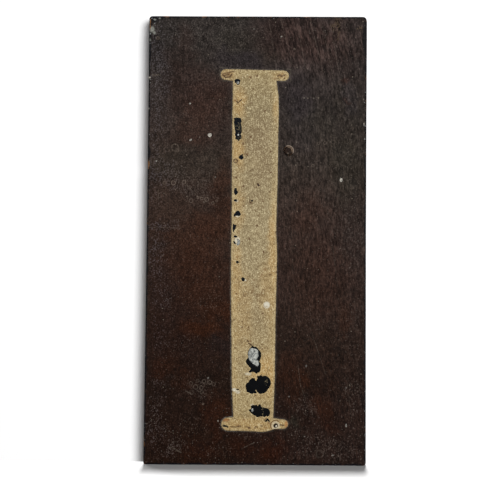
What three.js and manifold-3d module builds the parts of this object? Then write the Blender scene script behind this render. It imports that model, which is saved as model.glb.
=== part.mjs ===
// Wooden numeral tile: one thin upright board, painted dark over an older pale numeral, with a serifed
// numeral one in cream paint on top, flaked in places down to the coats below, and two painted-over nails.
// Millimetres. The tile stands on its foot edge: +Z is up, the face looks along -Y, +X is to the right.
// The origin lies under the middle of the tile, on the surface that it stands on.

import * as THREE from 'three';
import { mergeVertices } from 'three/addons/utils/BufferGeometryUtils.js';
import Module from 'manifold-3d';

const wasm = await Module();
wasm.setup();

// Board. It was sawn by hand, so its sides lean in a little on the way up and its head is not quite square.
const FOOT_WIDTH = 151.4;
const TILE_HEIGHT = 305.2;
const HEAD_DROP = 0.35; // the head edge is this much lower at its left end
const LEFT_LEAN = 2.3;
const RIGHT_LEAN = 1.1;
const EDGE_HOLLOW = 0.25; // each side was planed this much hollow between its corners
const BOARD_THICKNESS = 12.2;
const ARRIS_WEAR = 0.9; // how far the long edges are rubbed round, front and back
// Each corner is rubbed rounder than the edges that meet there, by this much.
const CORNER_EXTRA_WEAR = { footLeft: 0.3, footRight: 0.4, headRight: 1.5, headLeft: 0.8 };
const HOLLOW_STEPS = 4;
const CORNER_STEPS = 5;
const ARRIS_STEPS = 4;
const ROUND_STEPS = 24;
const BRUSH_STEPS = 4; // along each curve of the newer numeral

// Paint films, from the wood outwards.
const OLD_FILM = 0.14;
const GROUND_FILM = 0.32;
const CREAM_FILM = 0.2;
const FILM_CLEARANCE = 0.3; // round the older numeral's edge, under the ground coat
const EDGE_RELIEF = 0.05; // between the board's edges and the coat that wraps them
const CUT_OVERRUN = 1;

// Newer numeral. Each serif is a bar with round ends, drawn with a round brush. It reaches past the stem by
// its own amount on each side, and its right end lies lower than its left one by its fall.
const NUMERAL_FOOT = 23.4;
const NUMERAL_HEIGHT = 245.6;
const STEM_WIDTH = 31;
const STEM_CENTRE = -1.1;
const HEAD_SERIF = { leftReach: 8.1, rightReach: 7.4, leftHeight: 7.4, rightHeight: 7.1, fall: 0.7 };
const FOOT_SERIF = { leftReach: 6.2, rightReach: 8.3, leftHeight: 8.9, rightHeight: 6.4, fall: -1.4 };
const FOOT_SAG = 0.65;
const SAG_SHARE = 0.5; // where the foot serif sags lowest, along its width
// Stem edges from the foot up: height as a share of the numeral, then drift from the plain edge as a share
// of the stem's width.
const LEFT_EDGE_SHARES = [
  [0.037, 0.066],
  [0.06, 0.055],
  [0.15, 0.025],
  [0.27, 0.012],
  [0.44, -0.008],
  [0.62, 0.002],
  [0.8, 0],
  [0.968, 0.009],
];
const RIGHT_EDGE_SHARES = [
  [0.968, -0.035],
  [0.91, 0.016],
  [0.81, 0.01],
  [0.7, 0.002],
  [0.56, -0.021],
  [0.48, 0.001],
  [0.3, -0.024],
  [0.16, -0.032],
  [0.035, -0.06],
];

// Older numeral: the same figure with square ends, a little wider all round.
const OLD_SERIF_REACH = 8.4;
const OLD_SERIF_HEIGHT = 8.7;
const OLD_STEM_OVERREACH = 0.2; // how far its stem shows past the newer one on each side
const OLD_OVERREACH = 0.8; // how far it shows past the newer numeral at head and foot

// Nails: small flat heads, set just under the face of the ground coat.
const NAIL_HEAD_RADIUS = 3;
const NAIL_HEAD_THICKNESS = 0.9;
const NAIL_SHANK_RADIUS = 1.2;
const NAIL_LENGTH = 10.5;
const NAIL_POINT = 2.4;
const CROWN_SHARE = 0.7; // flat middle of the head, beside its radius
const RIM_SHARE = 0.35; // how far down its side the hammered rim runs
const NAIL_SUNK = 0.1; // its head lies this far under the face of the ground coat
const NAIL_CLEARANCE = 0.3;
const UPPER_NAIL = { across: 21.7, up: 213.8 };
const LOWER_NAIL = { across: 14.2, up: 27.1 };
const PAINT_PLUG_HOLE = 1.4; // the broken hole in the cream paint over the lower nail

// Flakes that left the cream paint. A flake's place is counted from the stem's left edge and the numeral's
// foot. Places, sizes and rim points are pairs of shares: the first of the stem's width, the second of the
// numeral's height. A small flake is a ragged oval, which its last value turns. A larger one has a rim of
// its own, drawn round its place.
const FLAKE_SHARES = [
  { place: [0.083, 0.637], size: [0.07, 0.0063], turn: 0.9 },
  { place: [0.088, 0.537], size: [0.07, 0.0057], turn: 4.4 },
  { place: [0.134, 0.466], size: [0.066, 0.0063], turn: 2.2 },
  { place: [0.259, 0.419], size: [0.075, 0.0107], turn: 1.7 },
  { place: [0.445, 0.636], size: [0.05, 0.0044], turn: 3.1 },
];
const NICK_SHARES = {
  place: [0.111, 0.965],
  rim: [
    [-0.064, 0.0053], [-0.035, 0.0072], [0.015, 0.0077], [0.053, 0.0053], [0.066, 0.0016],
    [0.046, 0.0003], [0.048, -0.0044], [0.031, -0.0077], [-0.004, -0.0083], [-0.026, -0.0039],
    [-0.055, -0.0023],
  ],
};
const LONG_CHIP_SHARES = {
  place: [0.122, 0.835],
  rim: [
    [-0.083, 0.0288], [-0.031, 0.0307], [0.057, 0.0299], [0.07, 0.0246], [0.085, 0.0202], [0.064, 0.016],
    [0.07, 0.0111], [0.085, 0.0042], [0.088, -0.0072], [0.064, -0.0151], [0.081, -0.0213],
    [0.079, -0.0274], [0.039, -0.0293], [0.039, -0.0332], [0.009, -0.0334], [-0.009, -0.029],
    [-0.05, -0.0281], [-0.042, -0.0216], [-0.061, -0.0163], [-0.048, -0.01], [-0.061, 0.0005],
    [-0.07, 0.0088], [-0.085, 0.0163], [-0.072, 0.023],
  ],
};
const STAR_CHIP_SHARES = {
  place: [0.202, 0.757],
  rim: [
    [-0.053, 0], [-0.037, 0.0028], [-0.028, 0.0053], [0.002, 0.0056], [0.02, 0.0083], [0.037, 0.0074],
    [0.031, 0.0033], [0.053, -0.0009], [0.039, -0.0044], [0.002, -0.0072], [-0.039, -0.0044],
  ],
};
const DROP_CHIP_SHARES = {
  place: [0.089, 0.662],
  rim: [
    [-0.026, 0.0091], [0.02, 0.0086], [0.022, 0.0014], [0.048, -0.0023], [0.026, -0.0067],
    [-0.002, -0.0107], [-0.026, -0.0069], [-0.039, 0.0009],
  ],
};
const TAILED_CHIP_SHARES = {
  place: [0.131, 0.601],
  rim: [
    [-0.039, 0.0044], [-0.015, 0.0069], [0.028, 0.0067], [0.05, 0.0023], [0.074, -0.0025],
    [0.044, -0.0056], [0.007, -0.0072], [-0.037, -0.0061], [-0.059, -0.0088], [-0.081, -0.0077],
    [-0.079, -0.0023], [-0.055, 0.0005],
  ],
};
const EDGE_CHIP_SHARES = {
  place: [0.065, 0.562],
  rim: [
    [-0.022, 0.0114], [0, 0.0074], [0.048, 0.0063], [0.026, 0.0019], [0.02, -0.0039], [-0.009, -0.0074],
    [-0.022, -0.0141], [-0.035, -0.0114], [-0.039, -0.0014], [-0.033, 0.0063],
  ],
};
const BLISTER_CRACK_SHARES = {
  place: [0.074, 0.5205],
  rim: [
    [-0.024, 0.0044], [-0.002, 0.0019], [0.026, -0.0039], [0.002, -0.0047], [-0.02, -0.0019],
    [-0.033, 0.0019],
  ],
};
const BLISTER_SHARES = {
  place: [0.146, 0.522],
  rim: [
    [-0.026, 0.0093], [0.026, 0.0049], [0.044, -0.0011], [0.033, -0.0061], [-0.018, -0.0093],
    [-0.033, -0.0049], [-0.009, -0.0016], [-0.013, 0.0039],
  ],
};
const UPPER_CHIP_SHARES = {
  place: [0.509, 0.196],
  rim: [
    [-0.07, 0.0348], [-0.037, 0.0395], [0, 0.0365], [0.05, 0.0357], [0.088, 0.0304], [0.114, 0.0263],
    [0.153, 0.0207], [0.155, 0.0119], [0.145, 0.0039], [0.118, -0.0056], [0.145, -0.0097],
    [0.149, -0.0191], [0.14, -0.0257], [0.127, -0.0337], [0.085, -0.0343], [0.068, -0.0384],
    [0.033, -0.0353], [-0.024, -0.0329], [-0.092, -0.0348], [-0.112, -0.0326], [-0.074, -0.0271],
    [-0.061, -0.0227], [-0.101, -0.0191], [-0.14, -0.013], [-0.173, -0.0063], [-0.177, -0.0023],
    [-0.151, 0.0023], [-0.125, 0.0049], [-0.131, 0.0119], [-0.138, 0.0188], [-0.118, 0.0254],
    [-0.094, 0.0318],
  ],
};
const TWIN_CHIP_SHARES = {
  place: [0.607, 0.128],
  rim: [
    [-0.081, 0.0172], [-0.125, 0.0179], [-0.162, 0.0155], [-0.193, 0.0116], [-0.21, 0.0063],
    [-0.247, 0.0039], [-0.272, -0.0009], [-0.274, -0.0077], [-0.256, -0.0133], [-0.254, -0.0193],
    [-0.21, -0.0223], [-0.138, -0.026], [-0.094, -0.0237], [-0.048, -0.0244], [-0.035, -0.0216],
    [-0.057, -0.0179], [-0.07, -0.0141], [-0.05, -0.0146], [-0.024, -0.0196], [-0.004, -0.0218],
    [0.042, -0.0263], [0.114, -0.0237], [0.182, -0.0193], [0.206, -0.0133], [0.243, -0.0069],
    [0.272, 0.0009], [0.274, 0.0077], [0.256, 0.0139], [0.226, 0.0193], [0.175, 0.0232], [0.125, 0.0244],
    [0.096, 0.021], [0.081, 0.0246], [0.053, 0.0263], [0.013, 0.0227], [-0.02, 0.0241], [-0.031, 0.0202],
    [-0.011, 0.0172], [-0.028, 0.0135], [-0.044, 0.0097], [-0.066, 0.0116],
  ],
};
const LOWER_CHIP_SHARES = {
  place: [0.639, 0.055],
  rim: [
    [-0.191, 0.0127], [-0.147, 0.016], [-0.094, 0.0158], [-0.061, 0.0165], [-0.042, 0.0133],
    [-0.026, 0.0155], [-0.004, 0.0183], [0.024, 0.0163], [0.044, 0.0114], [0.061, 0.0086], [0.081, 0.01],
    [0.11, 0.0083], [0.171, 0.0074], [0.208, 0.0035], [0.228, -0.0025], [0.23, -0.0081],
    [0.208, -0.0127], [0.171, -0.0149], [0.145, -0.0135], [0.099, -0.0165], [0.074, -0.0135],
    [0.013, -0.0149], [-0.048, -0.0174], [-0.085, -0.0135], [-0.136, -0.0105], [-0.184, -0.0058],
    [-0.221, -0.0011], [-0.239, 0.0028], [-0.201, 0.0039], [-0.182, 0.0077],
  ],
};
const CHEVRON_CHIP_SHARES = {
  place: [0.813, 0.0293],
  rim: [
    [-0.061, -0.0042], [-0.028, 0.0014], [0.004, 0.0053], [0.035, 0.0011], [0.057, -0.0039],
    [0.031, -0.0035], [0.007, 0.0003], [-0.02, -0.0039],
  ],
};
const DASH_CHIP_SHARES = {
  place: [0.154, 0.114],
  rim: [
    [-0.035, 0], [-0.009, 0.0019], [0.031, 0.0011], [0.026, -0.0011], [-0.018, -0.0016],
  ],
};
const SERIF_SCORE_SHARES = {
  place: [-0.106, 0.0122],
  rim: [
    [-0.066, 0.0016], [-0.028, 0.003], [0.028, 0.0016], [0.068, -0.0028], [0.042, -0.0033],
    [0.002, -0.0011], [-0.055, -0.0011],
  ],
};
const CREAM_FLAKE_SHARES = [
  ...FLAKE_SHARES,
  NICK_SHARES,
  LONG_CHIP_SHARES,
  STAR_CHIP_SHARES,
  DROP_CHIP_SHARES,
  TAILED_CHIP_SHARES,
  EDGE_CHIP_SHARES,
  BLISTER_CRACK_SHARES,
  BLISTER_SHARES,
  UPPER_CHIP_SHARES,
  TWIN_CHIP_SHARES,
  LOWER_CHIP_SHARES,
  CHEVRON_CHIP_SHARES,
  DASH_CHIP_SHARES,
  SERIF_SCORE_SHARES,
];
// Deeper flakes, which left the ground coat too and bare the older numeral. Same shares as above.
const DEEP_FLAKE_SHARES = [
  { place: [0.1355, 0.8187], size: [0.035, 0.0063], turn: 0.5 },
  { place: [0.119, 0.963], size: [0.055, 0.0078], turn: 3.5 },
  { place: [0.483, 0.057], size: [0.05, 0.0095], turn: 2.4 },
  BLISTER_SHARES,
  {
    place: [0.509, 0.196],
    rim: [
      [-0.09, 0.0318], [-0.013, 0.0326], [0.061, 0.0299], [0.092, 0.026], [0.096, 0.0183],
      [0.103, 0.0105], [0.074, 0.0049], [0.048, 0.0019], [0.088, -0.0005], [0.103, -0.0035],
      [0.11, -0.0114], [0.085, -0.0188], [0.048, -0.0151], [-0.013, -0.0114], [-0.061, -0.0058],
      [-0.105, 0.0011], [-0.125, 0.0105], [-0.127, 0.0188],
    ],
  },
];
// Ragged outline of a flake: lobes round it, how deep each is as a share of its radius, and its own start.
const RAGGED_SHARES = [
  { lobes: 2, share: 0.09, start: 0 },
  { lobes: 3, share: 0.1, start: 1.3 },
  { lobes: 5, share: 0.07, start: 2.1 },
];
const FLAKE_POINTS = 12;

// Places along the front arrises where the ground coat is rubbed through to the wood. The first share runs
// from the foot up each side, or from left to right along the head. How long a place is follows as a share
// of the tile's height, and how deep it is as a share of the board's thickness.
const RUBBED_SHARES = [
  { side: 'left', along: 0.985, long: 0.03, deep: 0.12 },
  { side: 'left', along: 0.68, long: 0.046, deep: 0.07 },
  { side: 'left', along: 0.008, long: 0.016, deep: 0.11 },
  { side: 'right', along: 0.99, long: 0.026, deep: 0.15 },
  { side: 'right', along: 0.035, long: 0.06, deep: 0.07 },
  { side: 'head', along: 0.99, long: 0.02, deep: 0.11 },
];
const SCALLOP_STEPS = 16;

// Depths through the tile, all worked out from the board and its films. The back is at +Y.
const TILE_DEPTH = BOARD_THICKNESS + GROUND_FILM + CREAM_FILM;
const BACK = TILE_DEPTH / 2;
const WOOD_FACE = BACK - BOARD_THICKNESS;
const OLD_FACE = WOOD_FACE - OLD_FILM;
const GROUND_FACE = WOOD_FACE - GROUND_FILM;
const CREAM_FACE = GROUND_FACE - CREAM_FILM;
const COAT_RIM = BACK - ARRIS_WEAR; // the coat that wraps the edges ends where the back arris begins
const WOOD_INSET = GROUND_FILM + EDGE_RELIEF; // from the tile's outer edge in to the wood
const STEM_LEFT = STEM_CENTRE - STEM_WIDTH / 2;
const STEM_RIGHT = STEM_CENTRE + STEM_WIDTH / 2;

const materials = {
  wood: new THREE.MeshStandardMaterial({ color: 0x8a5f38, roughness: 0.8, metalness: 0 }),
  oldPaint: new THREE.MeshStandardMaterial({ color: 0xc9c7bb, roughness: 0.7, metalness: 0 }),
  groundPaint: new THREE.MeshStandardMaterial({ color: 0x2f221d, roughness: 0.55, metalness: 0 }),
  creamPaint: new THREE.MeshStandardMaterial({ color: 0xcbb07c, roughness: 0.7, metalness: 0 }),
  iron: new THREE.MeshStandardMaterial({ color: 0x4a3a31, roughness: 0.6, metalness: 0.6 }),
};

// Outline of the tile seen from the front, set in from its true edge by the given distance.
function tileOutline(inset) {
  const left = -FOOT_WIDTH / 2 + inset;
  const right = FOOT_WIDTH / 2 - inset;
  const foot = inset;
  const headLeft = new THREE.Vector2(left + LEFT_LEAN, TILE_HEIGHT - HEAD_DROP - inset);
  const headRight = new THREE.Vector2(right - RIGHT_LEAN, TILE_HEIGHT - inset);
  const corners = [
    { at: new THREE.Vector2(left, foot), extra: CORNER_EXTRA_WEAR.footLeft },
    { at: new THREE.Vector2(right, foot), extra: CORNER_EXTRA_WEAR.footRight },
    { at: headRight, extra: CORNER_EXTRA_WEAR.headRight },
    { at: headLeft, extra: CORNER_EXTRA_WEAR.headLeft },
  ];
  const hollows = [0, EDGE_HOLLOW, 0, EDGE_HOLLOW]; // the foot and the head were planed straight
  const outline = [];
  corners.forEach((corner, index) => {
    const before = corners[(index + 3) % 4].at;
    const after = corners[(index + 1) % 4].at;
    const radius = WOOD_INSET + ARRIS_WEAR + corner.extra - inset;
    outline.push(...roundedCorner(before, corner.at, after, radius));
    outline.push(...hollowEdge(corner.at, after, hollows[index]));
  });
  return outline;
}

// Points round a corner, on an arc of the given radius that touches both edges.
function roundedCorner(before, corner, after, radius) {
  const back = before.clone().sub(corner).normalize();
  const ahead = after.clone().sub(corner).normalize();
  const halfAngle = Math.acos(back.dot(ahead)) / 2;
  const centre = corner.clone().add(back.clone().add(ahead).setLength(radius / Math.sin(halfAngle)));
  const startAngle = Math.atan2(back.y, back.x) + Math.PI / 2;
  const sweep = Math.PI - halfAngle * 2;
  const points = [];
  for (let step = 0; step <= CORNER_STEPS; step += 1) {
    const angle = startAngle + (sweep * step) / CORNER_STEPS;
    points.push(new THREE.Vector2(Math.cos(angle), Math.sin(angle)).multiplyScalar(radius).add(centre));
  }
  return points;
}

// Points between two corners, drawn in towards the middle of the board by the given hollow.
function hollowEdge(from, to, hollow) {
  if (hollow === 0) return [];
  const inward = new THREE.Vector2(from.y - to.y, to.x - from.x).setLength(hollow);
  const points = [];
  for (let step = 1; step < HOLLOW_STEPS; step += 1) {
    const share = step / HOLLOW_STEPS;
    const sag = Math.sin(Math.PI * share);
    points.push(from.clone().lerp(to, share).addScaledVector(inward, sag));
  }
  return points;
}

// Turns a geometry drawn in the plane of the face, with its depth along +Z, to stand upright. Its near end
// lies at the given depth through the tile and its length runs on towards the back.
function standUp(geometry, nearFace) {
  const place = geometry.attributes.position;
  for (let index = 0; index < place.count; index += 1) {
    place.setXYZ(index, place.getX(index), nearFace + place.getZ(index), place.getY(index));
  }
  // Swapping two axes mirrors the shape, so each triangle is wound the other way round to face out again.
  const order = geometry.index ? geometry.index.array : [...Array(place.count).keys()];
  const turned = [];
  for (let corner = 0; corner < order.length; corner += 3) {
    turned.push(order[corner], order[corner + 2], order[corner + 1]);
  }
  geometry.setIndex(turned);
  return geometry;
}

function toSolid(geometry) {
  const bare = geometry.clone();
  bare.deleteAttribute('normal');
  bare.deleteAttribute('uv');
  const closed = mergeVertices(bare);
  const mesh = new wasm.Mesh({
    numProp: 3,
    vertProperties: new Float32Array(closed.attributes.position.array),
    triVerts: new Uint32Array(closed.index.array),
  });
  return new wasm.Manifold(mesh);
}

function toGeometry(solid) {
  const mesh = solid.getMesh();
  const geometry = new THREE.BufferGeometry();
  geometry.setAttribute('position', new THREE.BufferAttribute(mesh.vertProperties, 3));
  geometry.setIndex(new THREE.BufferAttribute(mesh.triVerts, 1));
  geometry.computeVertexNormals();
  return geometry;
}

// A plate with upright sides, from one depth through the tile to another.
function plate(shape, nearFace, farFace, curveSegments = 1) {
  const depth = farFace - nearFace;
  const geometry = new THREE.ExtrudeGeometry(shape, { depth, bevelEnabled: false, curveSegments });
  return toSolid(standUp(geometry, nearFace));
}

// A plate whose two long edges are rubbed round all the way about.
function roundedPlate(inset, nearFace, farFace, wear) {
  const geometry = new THREE.ExtrudeGeometry(new THREE.Shape(tileOutline(inset)), {
    depth: farFace - nearFace - wear * 2,
    bevelEnabled: true,
    bevelThickness: wear,
    bevelSize: wear,
    bevelOffset: -wear,
    bevelSegments: ARRIS_STEPS,
  });
  return toSolid(standUp(geometry, nearFace + wear));
}

// Closed outline of one flake, round its own rim points or as an oval with a ragged rim.
function flakeShape({ place, size, turn, rim }) {
  const shares = rim ?? raggedOval(size, turn);
  const points = shares.map(([across, up]) => new THREE.Vector2(
    STEM_LEFT + (place[0] + across) * STEM_WIDTH,
    NUMERAL_FOOT + (place[1] + up) * NUMERAL_HEIGHT,
  ));
  return new THREE.Shape(points);
}

function raggedOval([wide, high], turn) {
  const points = [];
  for (let step = 0; step < FLAKE_POINTS; step += 1) {
    const angle = (step / FLAKE_POINTS) * Math.PI * 2;
    let radius = 1;
    for (const { lobes, share, start } of RAGGED_SHARES) {
      radius += share * Math.sin(lobes * angle + start + turn * lobes);
    }
    points.push([(Math.cos(angle) * radius * wide) / 2, (Math.sin(angle) * radius * high) / 2]);
  }
  return points;
}

// Stem edge as points up or down one side.
function stemEdge(shares, plainEdge) {
  return shares.map(([up, drift]) => {
    return new THREE.Vector2(plainEdge + drift * STEM_WIDTH, NUMERAL_FOOT + up * NUMERAL_HEIGHT);
  });
}

// The newer numeral: serifs with rounded ends, joined by a stem whose edges wander as a hand drew them.
function newNumeralShape() {
  const foot = NUMERAL_FOOT;
  const head = NUMERAL_FOOT + NUMERAL_HEIGHT;
  const shape = new THREE.Shape();
  const footLeftEnd = FOOT_SERIF.leftHeight / 2;
  const footRightEnd = FOOT_SERIF.rightHeight / 2;
  const footLeftX = STEM_LEFT - FOOT_SERIF.leftReach + footLeftEnd;
  const footRightLow = foot - FOOT_SERIF.fall;
  const footRightX = STEM_RIGHT + FOOT_SERIF.rightReach - footRightEnd;
  const sagMiddle = THREE.MathUtils.lerp(footLeftX - footLeftEnd, footRightX + footRightEnd, SAG_SHARE);
  const sagLow = foot - FOOT_SAG;
  shape.moveTo(footLeftX, foot);
  shape.quadraticCurveTo(sagMiddle - footLeftEnd, foot, sagMiddle + footLeftEnd, sagLow);
  shape.quadraticCurveTo(sagMiddle + footLeftEnd * 2, sagLow, sagMiddle + footLeftEnd * 3, footRightLow);
  shape.lineTo(footRightX, footRightLow);
  shape.absarc(footRightX, footRightLow + footRightEnd, footRightEnd, -Math.PI / 2, Math.PI / 2, false);
  const rightEdge = stemEdge(RIGHT_EDGE_SHARES, STEM_RIGHT).reverse();
  shape.lineTo(rightEdge[0].x, rightEdge[0].y);
  shape.splineThru(rightEdge.slice(1));
  const headRightEnd = HEAD_SERIF.rightHeight / 2;
  const headRightX = STEM_RIGHT + HEAD_SERIF.rightReach - headRightEnd;
  const headRightZ = head - HEAD_SERIF.fall - headRightEnd;
  shape.absarc(headRightX, headRightZ, headRightEnd, -Math.PI / 2, Math.PI / 2, false);
  const headLeftEnd = HEAD_SERIF.leftHeight / 2;
  const headLeftX = STEM_LEFT - HEAD_SERIF.leftReach + headLeftEnd;
  shape.absarc(headLeftX, head - headLeftEnd, headLeftEnd, Math.PI / 2, Math.PI * 1.5, false);
  const leftEdge = stemEdge(LEFT_EDGE_SHARES, STEM_LEFT).reverse();
  shape.lineTo(leftEdge[0].x, leftEdge[0].y);
  shape.splineThru(leftEdge.slice(1));
  shape.absarc(footLeftX, foot + footLeftEnd, footLeftEnd, Math.PI / 2, Math.PI * 1.5, false);
  return shape;
}

// The older numeral: three plain bars with square ends, grown by the given clearance.
function oldNumeralShape(clearance) {
  const foot = NUMERAL_FOOT - OLD_OVERREACH - clearance;
  const head = NUMERAL_FOOT + NUMERAL_HEIGHT + OLD_OVERREACH + clearance;
  const stemHalf = STEM_WIDTH / 2 + OLD_STEM_OVERREACH + clearance;
  const serifHalf = stemHalf + OLD_SERIF_REACH;
  const serif = OLD_SERIF_HEIGHT + clearance * 2;
  const corners = [
    [-serifHalf, foot],
    [serifHalf, foot],
    [serifHalf, foot + serif],
    [stemHalf, foot + serif],
    [stemHalf, head - serif],
    [serifHalf, head - serif],
    [serifHalf, head],
    [-serifHalf, head],
    [-serifHalf, head - serif],
    [-stemHalf, head - serif],
    [-stemHalf, foot + serif],
    [-serifHalf, foot + serif],
  ];
  return new THREE.Shape(corners.map(([x, z]) => new THREE.Vector2(STEM_CENTRE + x, z)));
}

// A round plug along the tile's depth, used for nail holes.
function roundPlug(nail, radius, nearFace, farFace) {
  const geometry = new THREE.CylinderGeometry(radius, radius, farFace - nearFace, ROUND_STEPS);
  geometry.translate(nail.across, (nearFace + farFace) / 2, nail.up);
  return toSolid(geometry);
}

const NAIL_TOP = GROUND_FACE + NAIL_SUNK;
const NAIL_HEAD_BACK = NAIL_TOP + NAIL_HEAD_THICKNESS;

// The hole that a nail fills: a shallow seat for its head and a pilot hole for its shank.
function nailHole(nail) {
  const seat = roundPlug(nail, NAIL_HEAD_RADIUS + NAIL_CLEARANCE, CREAM_FACE - CUT_OVERRUN, NAIL_HEAD_BACK);
  const pilotEnd = NAIL_TOP + NAIL_LENGTH + NAIL_CLEARANCE;
  return seat.add(roundPlug(nail, NAIL_SHANK_RADIUS + NAIL_CLEARANCE, NAIL_HEAD_BACK, pilotEnd));
}

// A nail is turned about its own axis: a flat crown with a hammered rim, a shank and a point.
function nailGeometry() {
  const profile = [
    new THREE.Vector2(0, 0),
    new THREE.Vector2(NAIL_HEAD_RADIUS * CROWN_SHARE, 0),
    new THREE.Vector2(NAIL_HEAD_RADIUS, NAIL_HEAD_THICKNESS * RIM_SHARE),
    new THREE.Vector2(NAIL_HEAD_RADIUS, NAIL_HEAD_THICKNESS),
    new THREE.Vector2(NAIL_SHANK_RADIUS, NAIL_HEAD_THICKNESS),
    new THREE.Vector2(NAIL_SHANK_RADIUS, NAIL_LENGTH - NAIL_POINT),
    new THREE.Vector2(0, NAIL_LENGTH),
  ];
  return new THREE.LatheGeometry(profile, ROUND_STEPS);
}

function asMesh(name, geometry, material) {
  const mesh = new THREE.Mesh(geometry, material);
  mesh.name = name;
  return mesh;
}

// The bare board, drilled for both nails.
function makeBoard() {
  const board = roundedPlate(WOOD_INSET, WOOD_FACE, BACK, ARRIS_WEAR);
  const drilled = board.subtract(nailHole(UPPER_NAIL)).subtract(nailHole(LOWER_NAIL));
  return asMesh('board', toGeometry(drilled), materials.wood);
}

function makeOldNumeral() {
  const film = plate(oldNumeralShape(0), OLD_FACE, WOOD_FACE).subtract(nailHole(LOWER_NAIL));
  return asMesh('old_numeral', toGeometry(film), materials.oldPaint);
}

// Rubs the coat away in a shallow scallop along one stretch of a front arris.
function rubbedScallop({ side, along, long, deep }) {
  const footLeft = new THREE.Vector2(-FOOT_WIDTH / 2, 0);
  const footRight = new THREE.Vector2(FOOT_WIDTH / 2, 0);
  const headLeft = new THREE.Vector2(LEFT_LEAN - FOOT_WIDTH / 2, TILE_HEIGHT - HEAD_DROP);
  const headRight = new THREE.Vector2(FOOT_WIDTH / 2 - RIGHT_LEAN, TILE_HEIGHT);
  const edges = { left: [footLeft, headLeft], right: [footRight, headRight], head: [headLeft, headRight] };
  const [from, to] = edges[side];
  const centre = from.clone().lerp(to, along);
  const half = (long * TILE_HEIGHT) / 2;
  const depth = deep * BOARD_THICKNESS;
  const [wide, high] = side === 'head' ? [half, depth] : [depth, half];
  const scallop = new THREE.SphereGeometry(1, SCALLOP_STEPS, SCALLOP_STEPS / 2);
  scallop.scale(wide, ARRIS_WEAR + depth, high);
  scallop.translate(centre.x, GROUND_FACE, centre.y);
  return toSolid(scallop);
}

// The ground coat: a thin tray over the face and the four edges, hollowed behind for the older numeral.
function makeGroundCoat() {
  let coat = roundedPlate(0, GROUND_FACE, BACK + ARRIS_WEAR + CUT_OVERRUN, ARRIS_WEAR);
  const pastBack = BACK + (ARRIS_WEAR + CUT_OVERRUN) * 2;
  coat = coat.subtract(roundedPlate(GROUND_FILM, WOOD_FACE, pastBack, ARRIS_WEAR));
  const roomWidth = FOOT_WIDTH + CUT_OVERRUN * 2;
  const room = new THREE.BoxGeometry(roomWidth, TILE_DEPTH, TILE_HEIGHT + CUT_OVERRUN * 2);
  room.translate(0, COAT_RIM + TILE_DEPTH / 2, TILE_HEIGHT / 2);
  coat = coat.subtract(toSolid(room));
  coat = coat.subtract(plate(oldNumeralShape(FILM_CLEARANCE), OLD_FACE, WOOD_FACE + CUT_OVERRUN));
  for (const flake of DEEP_FLAKE_SHARES) {
    coat = coat.subtract(plate(flakeShape(flake), CREAM_FACE - CUT_OVERRUN, WOOD_FACE + CUT_OVERRUN));
  }
  for (const rubbed of RUBBED_SHARES) coat = coat.subtract(rubbedScallop(rubbed));
  coat = coat.subtract(nailHole(UPPER_NAIL)).subtract(nailHole(LOWER_NAIL));
  return asMesh('ground_coat', toGeometry(coat), materials.groundPaint);
}

// The cream numeral with every flake cut right through its film.
function makeCreamNumeral() {
  let film = plate(newNumeralShape(), CREAM_FACE, GROUND_FACE, BRUSH_STEPS);
  for (const flake of CREAM_FLAKE_SHARES) {
    film = film.subtract(plate(flakeShape(flake), CREAM_FACE - CUT_OVERRUN, GROUND_FACE + CUT_OVERRUN));
  }
  const hole = roundPlug(LOWER_NAIL, PAINT_PLUG_HOLE, CREAM_FACE - CUT_OVERRUN, GROUND_FACE + CUT_OVERRUN);
  return asMesh('cream_numeral', toGeometry(film.subtract(hole)), materials.creamPaint);
}

function makeNail(name, nail) {
  const mesh = asMesh(name, nailGeometry(), materials.iron);
  mesh.position.set(nail.across, NAIL_TOP, nail.up);
  return mesh;
}

const tile = new THREE.Group();
tile.add(
  makeBoard(),
  makeOldNumeral(),
  makeGroundCoat(),
  makeCreamNumeral(),
  makeNail('upper_nail', UPPER_NAIL),
  makeNail('lower_nail', LOWER_NAIL),
);

export default tile;
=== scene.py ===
import math

import bpy
import numpy as np
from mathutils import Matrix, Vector, noise
from mathutils.geometry import delaunay_2d_cdt
from mathutils.kdtree import KDTree


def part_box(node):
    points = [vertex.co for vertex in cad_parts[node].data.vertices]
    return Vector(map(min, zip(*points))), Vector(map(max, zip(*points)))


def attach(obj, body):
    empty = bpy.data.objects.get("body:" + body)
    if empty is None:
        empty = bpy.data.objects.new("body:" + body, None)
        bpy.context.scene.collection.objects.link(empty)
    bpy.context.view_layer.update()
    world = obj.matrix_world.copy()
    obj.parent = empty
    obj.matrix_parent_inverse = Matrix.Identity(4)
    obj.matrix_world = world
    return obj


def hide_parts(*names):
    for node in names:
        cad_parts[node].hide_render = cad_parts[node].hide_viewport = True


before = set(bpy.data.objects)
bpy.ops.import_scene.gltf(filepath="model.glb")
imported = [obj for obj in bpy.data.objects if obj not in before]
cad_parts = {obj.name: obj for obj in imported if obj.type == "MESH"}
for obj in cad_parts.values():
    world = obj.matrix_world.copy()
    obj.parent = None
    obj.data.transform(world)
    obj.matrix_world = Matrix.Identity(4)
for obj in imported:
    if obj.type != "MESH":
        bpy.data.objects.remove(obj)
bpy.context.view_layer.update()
MM = 0.001
print("pieces in the frame:", sorted(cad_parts))

# %% [markdown]
# A few depths decide where every coat lies. The face looks towards -Y, so a smaller depth is nearer to
# the viewer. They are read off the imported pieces, so the paint can never drift away from the wood.
# %% Depths and corners in millimetres


def box_mm(node):
    low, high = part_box(node)
    return low / MM, high / MM


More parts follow.
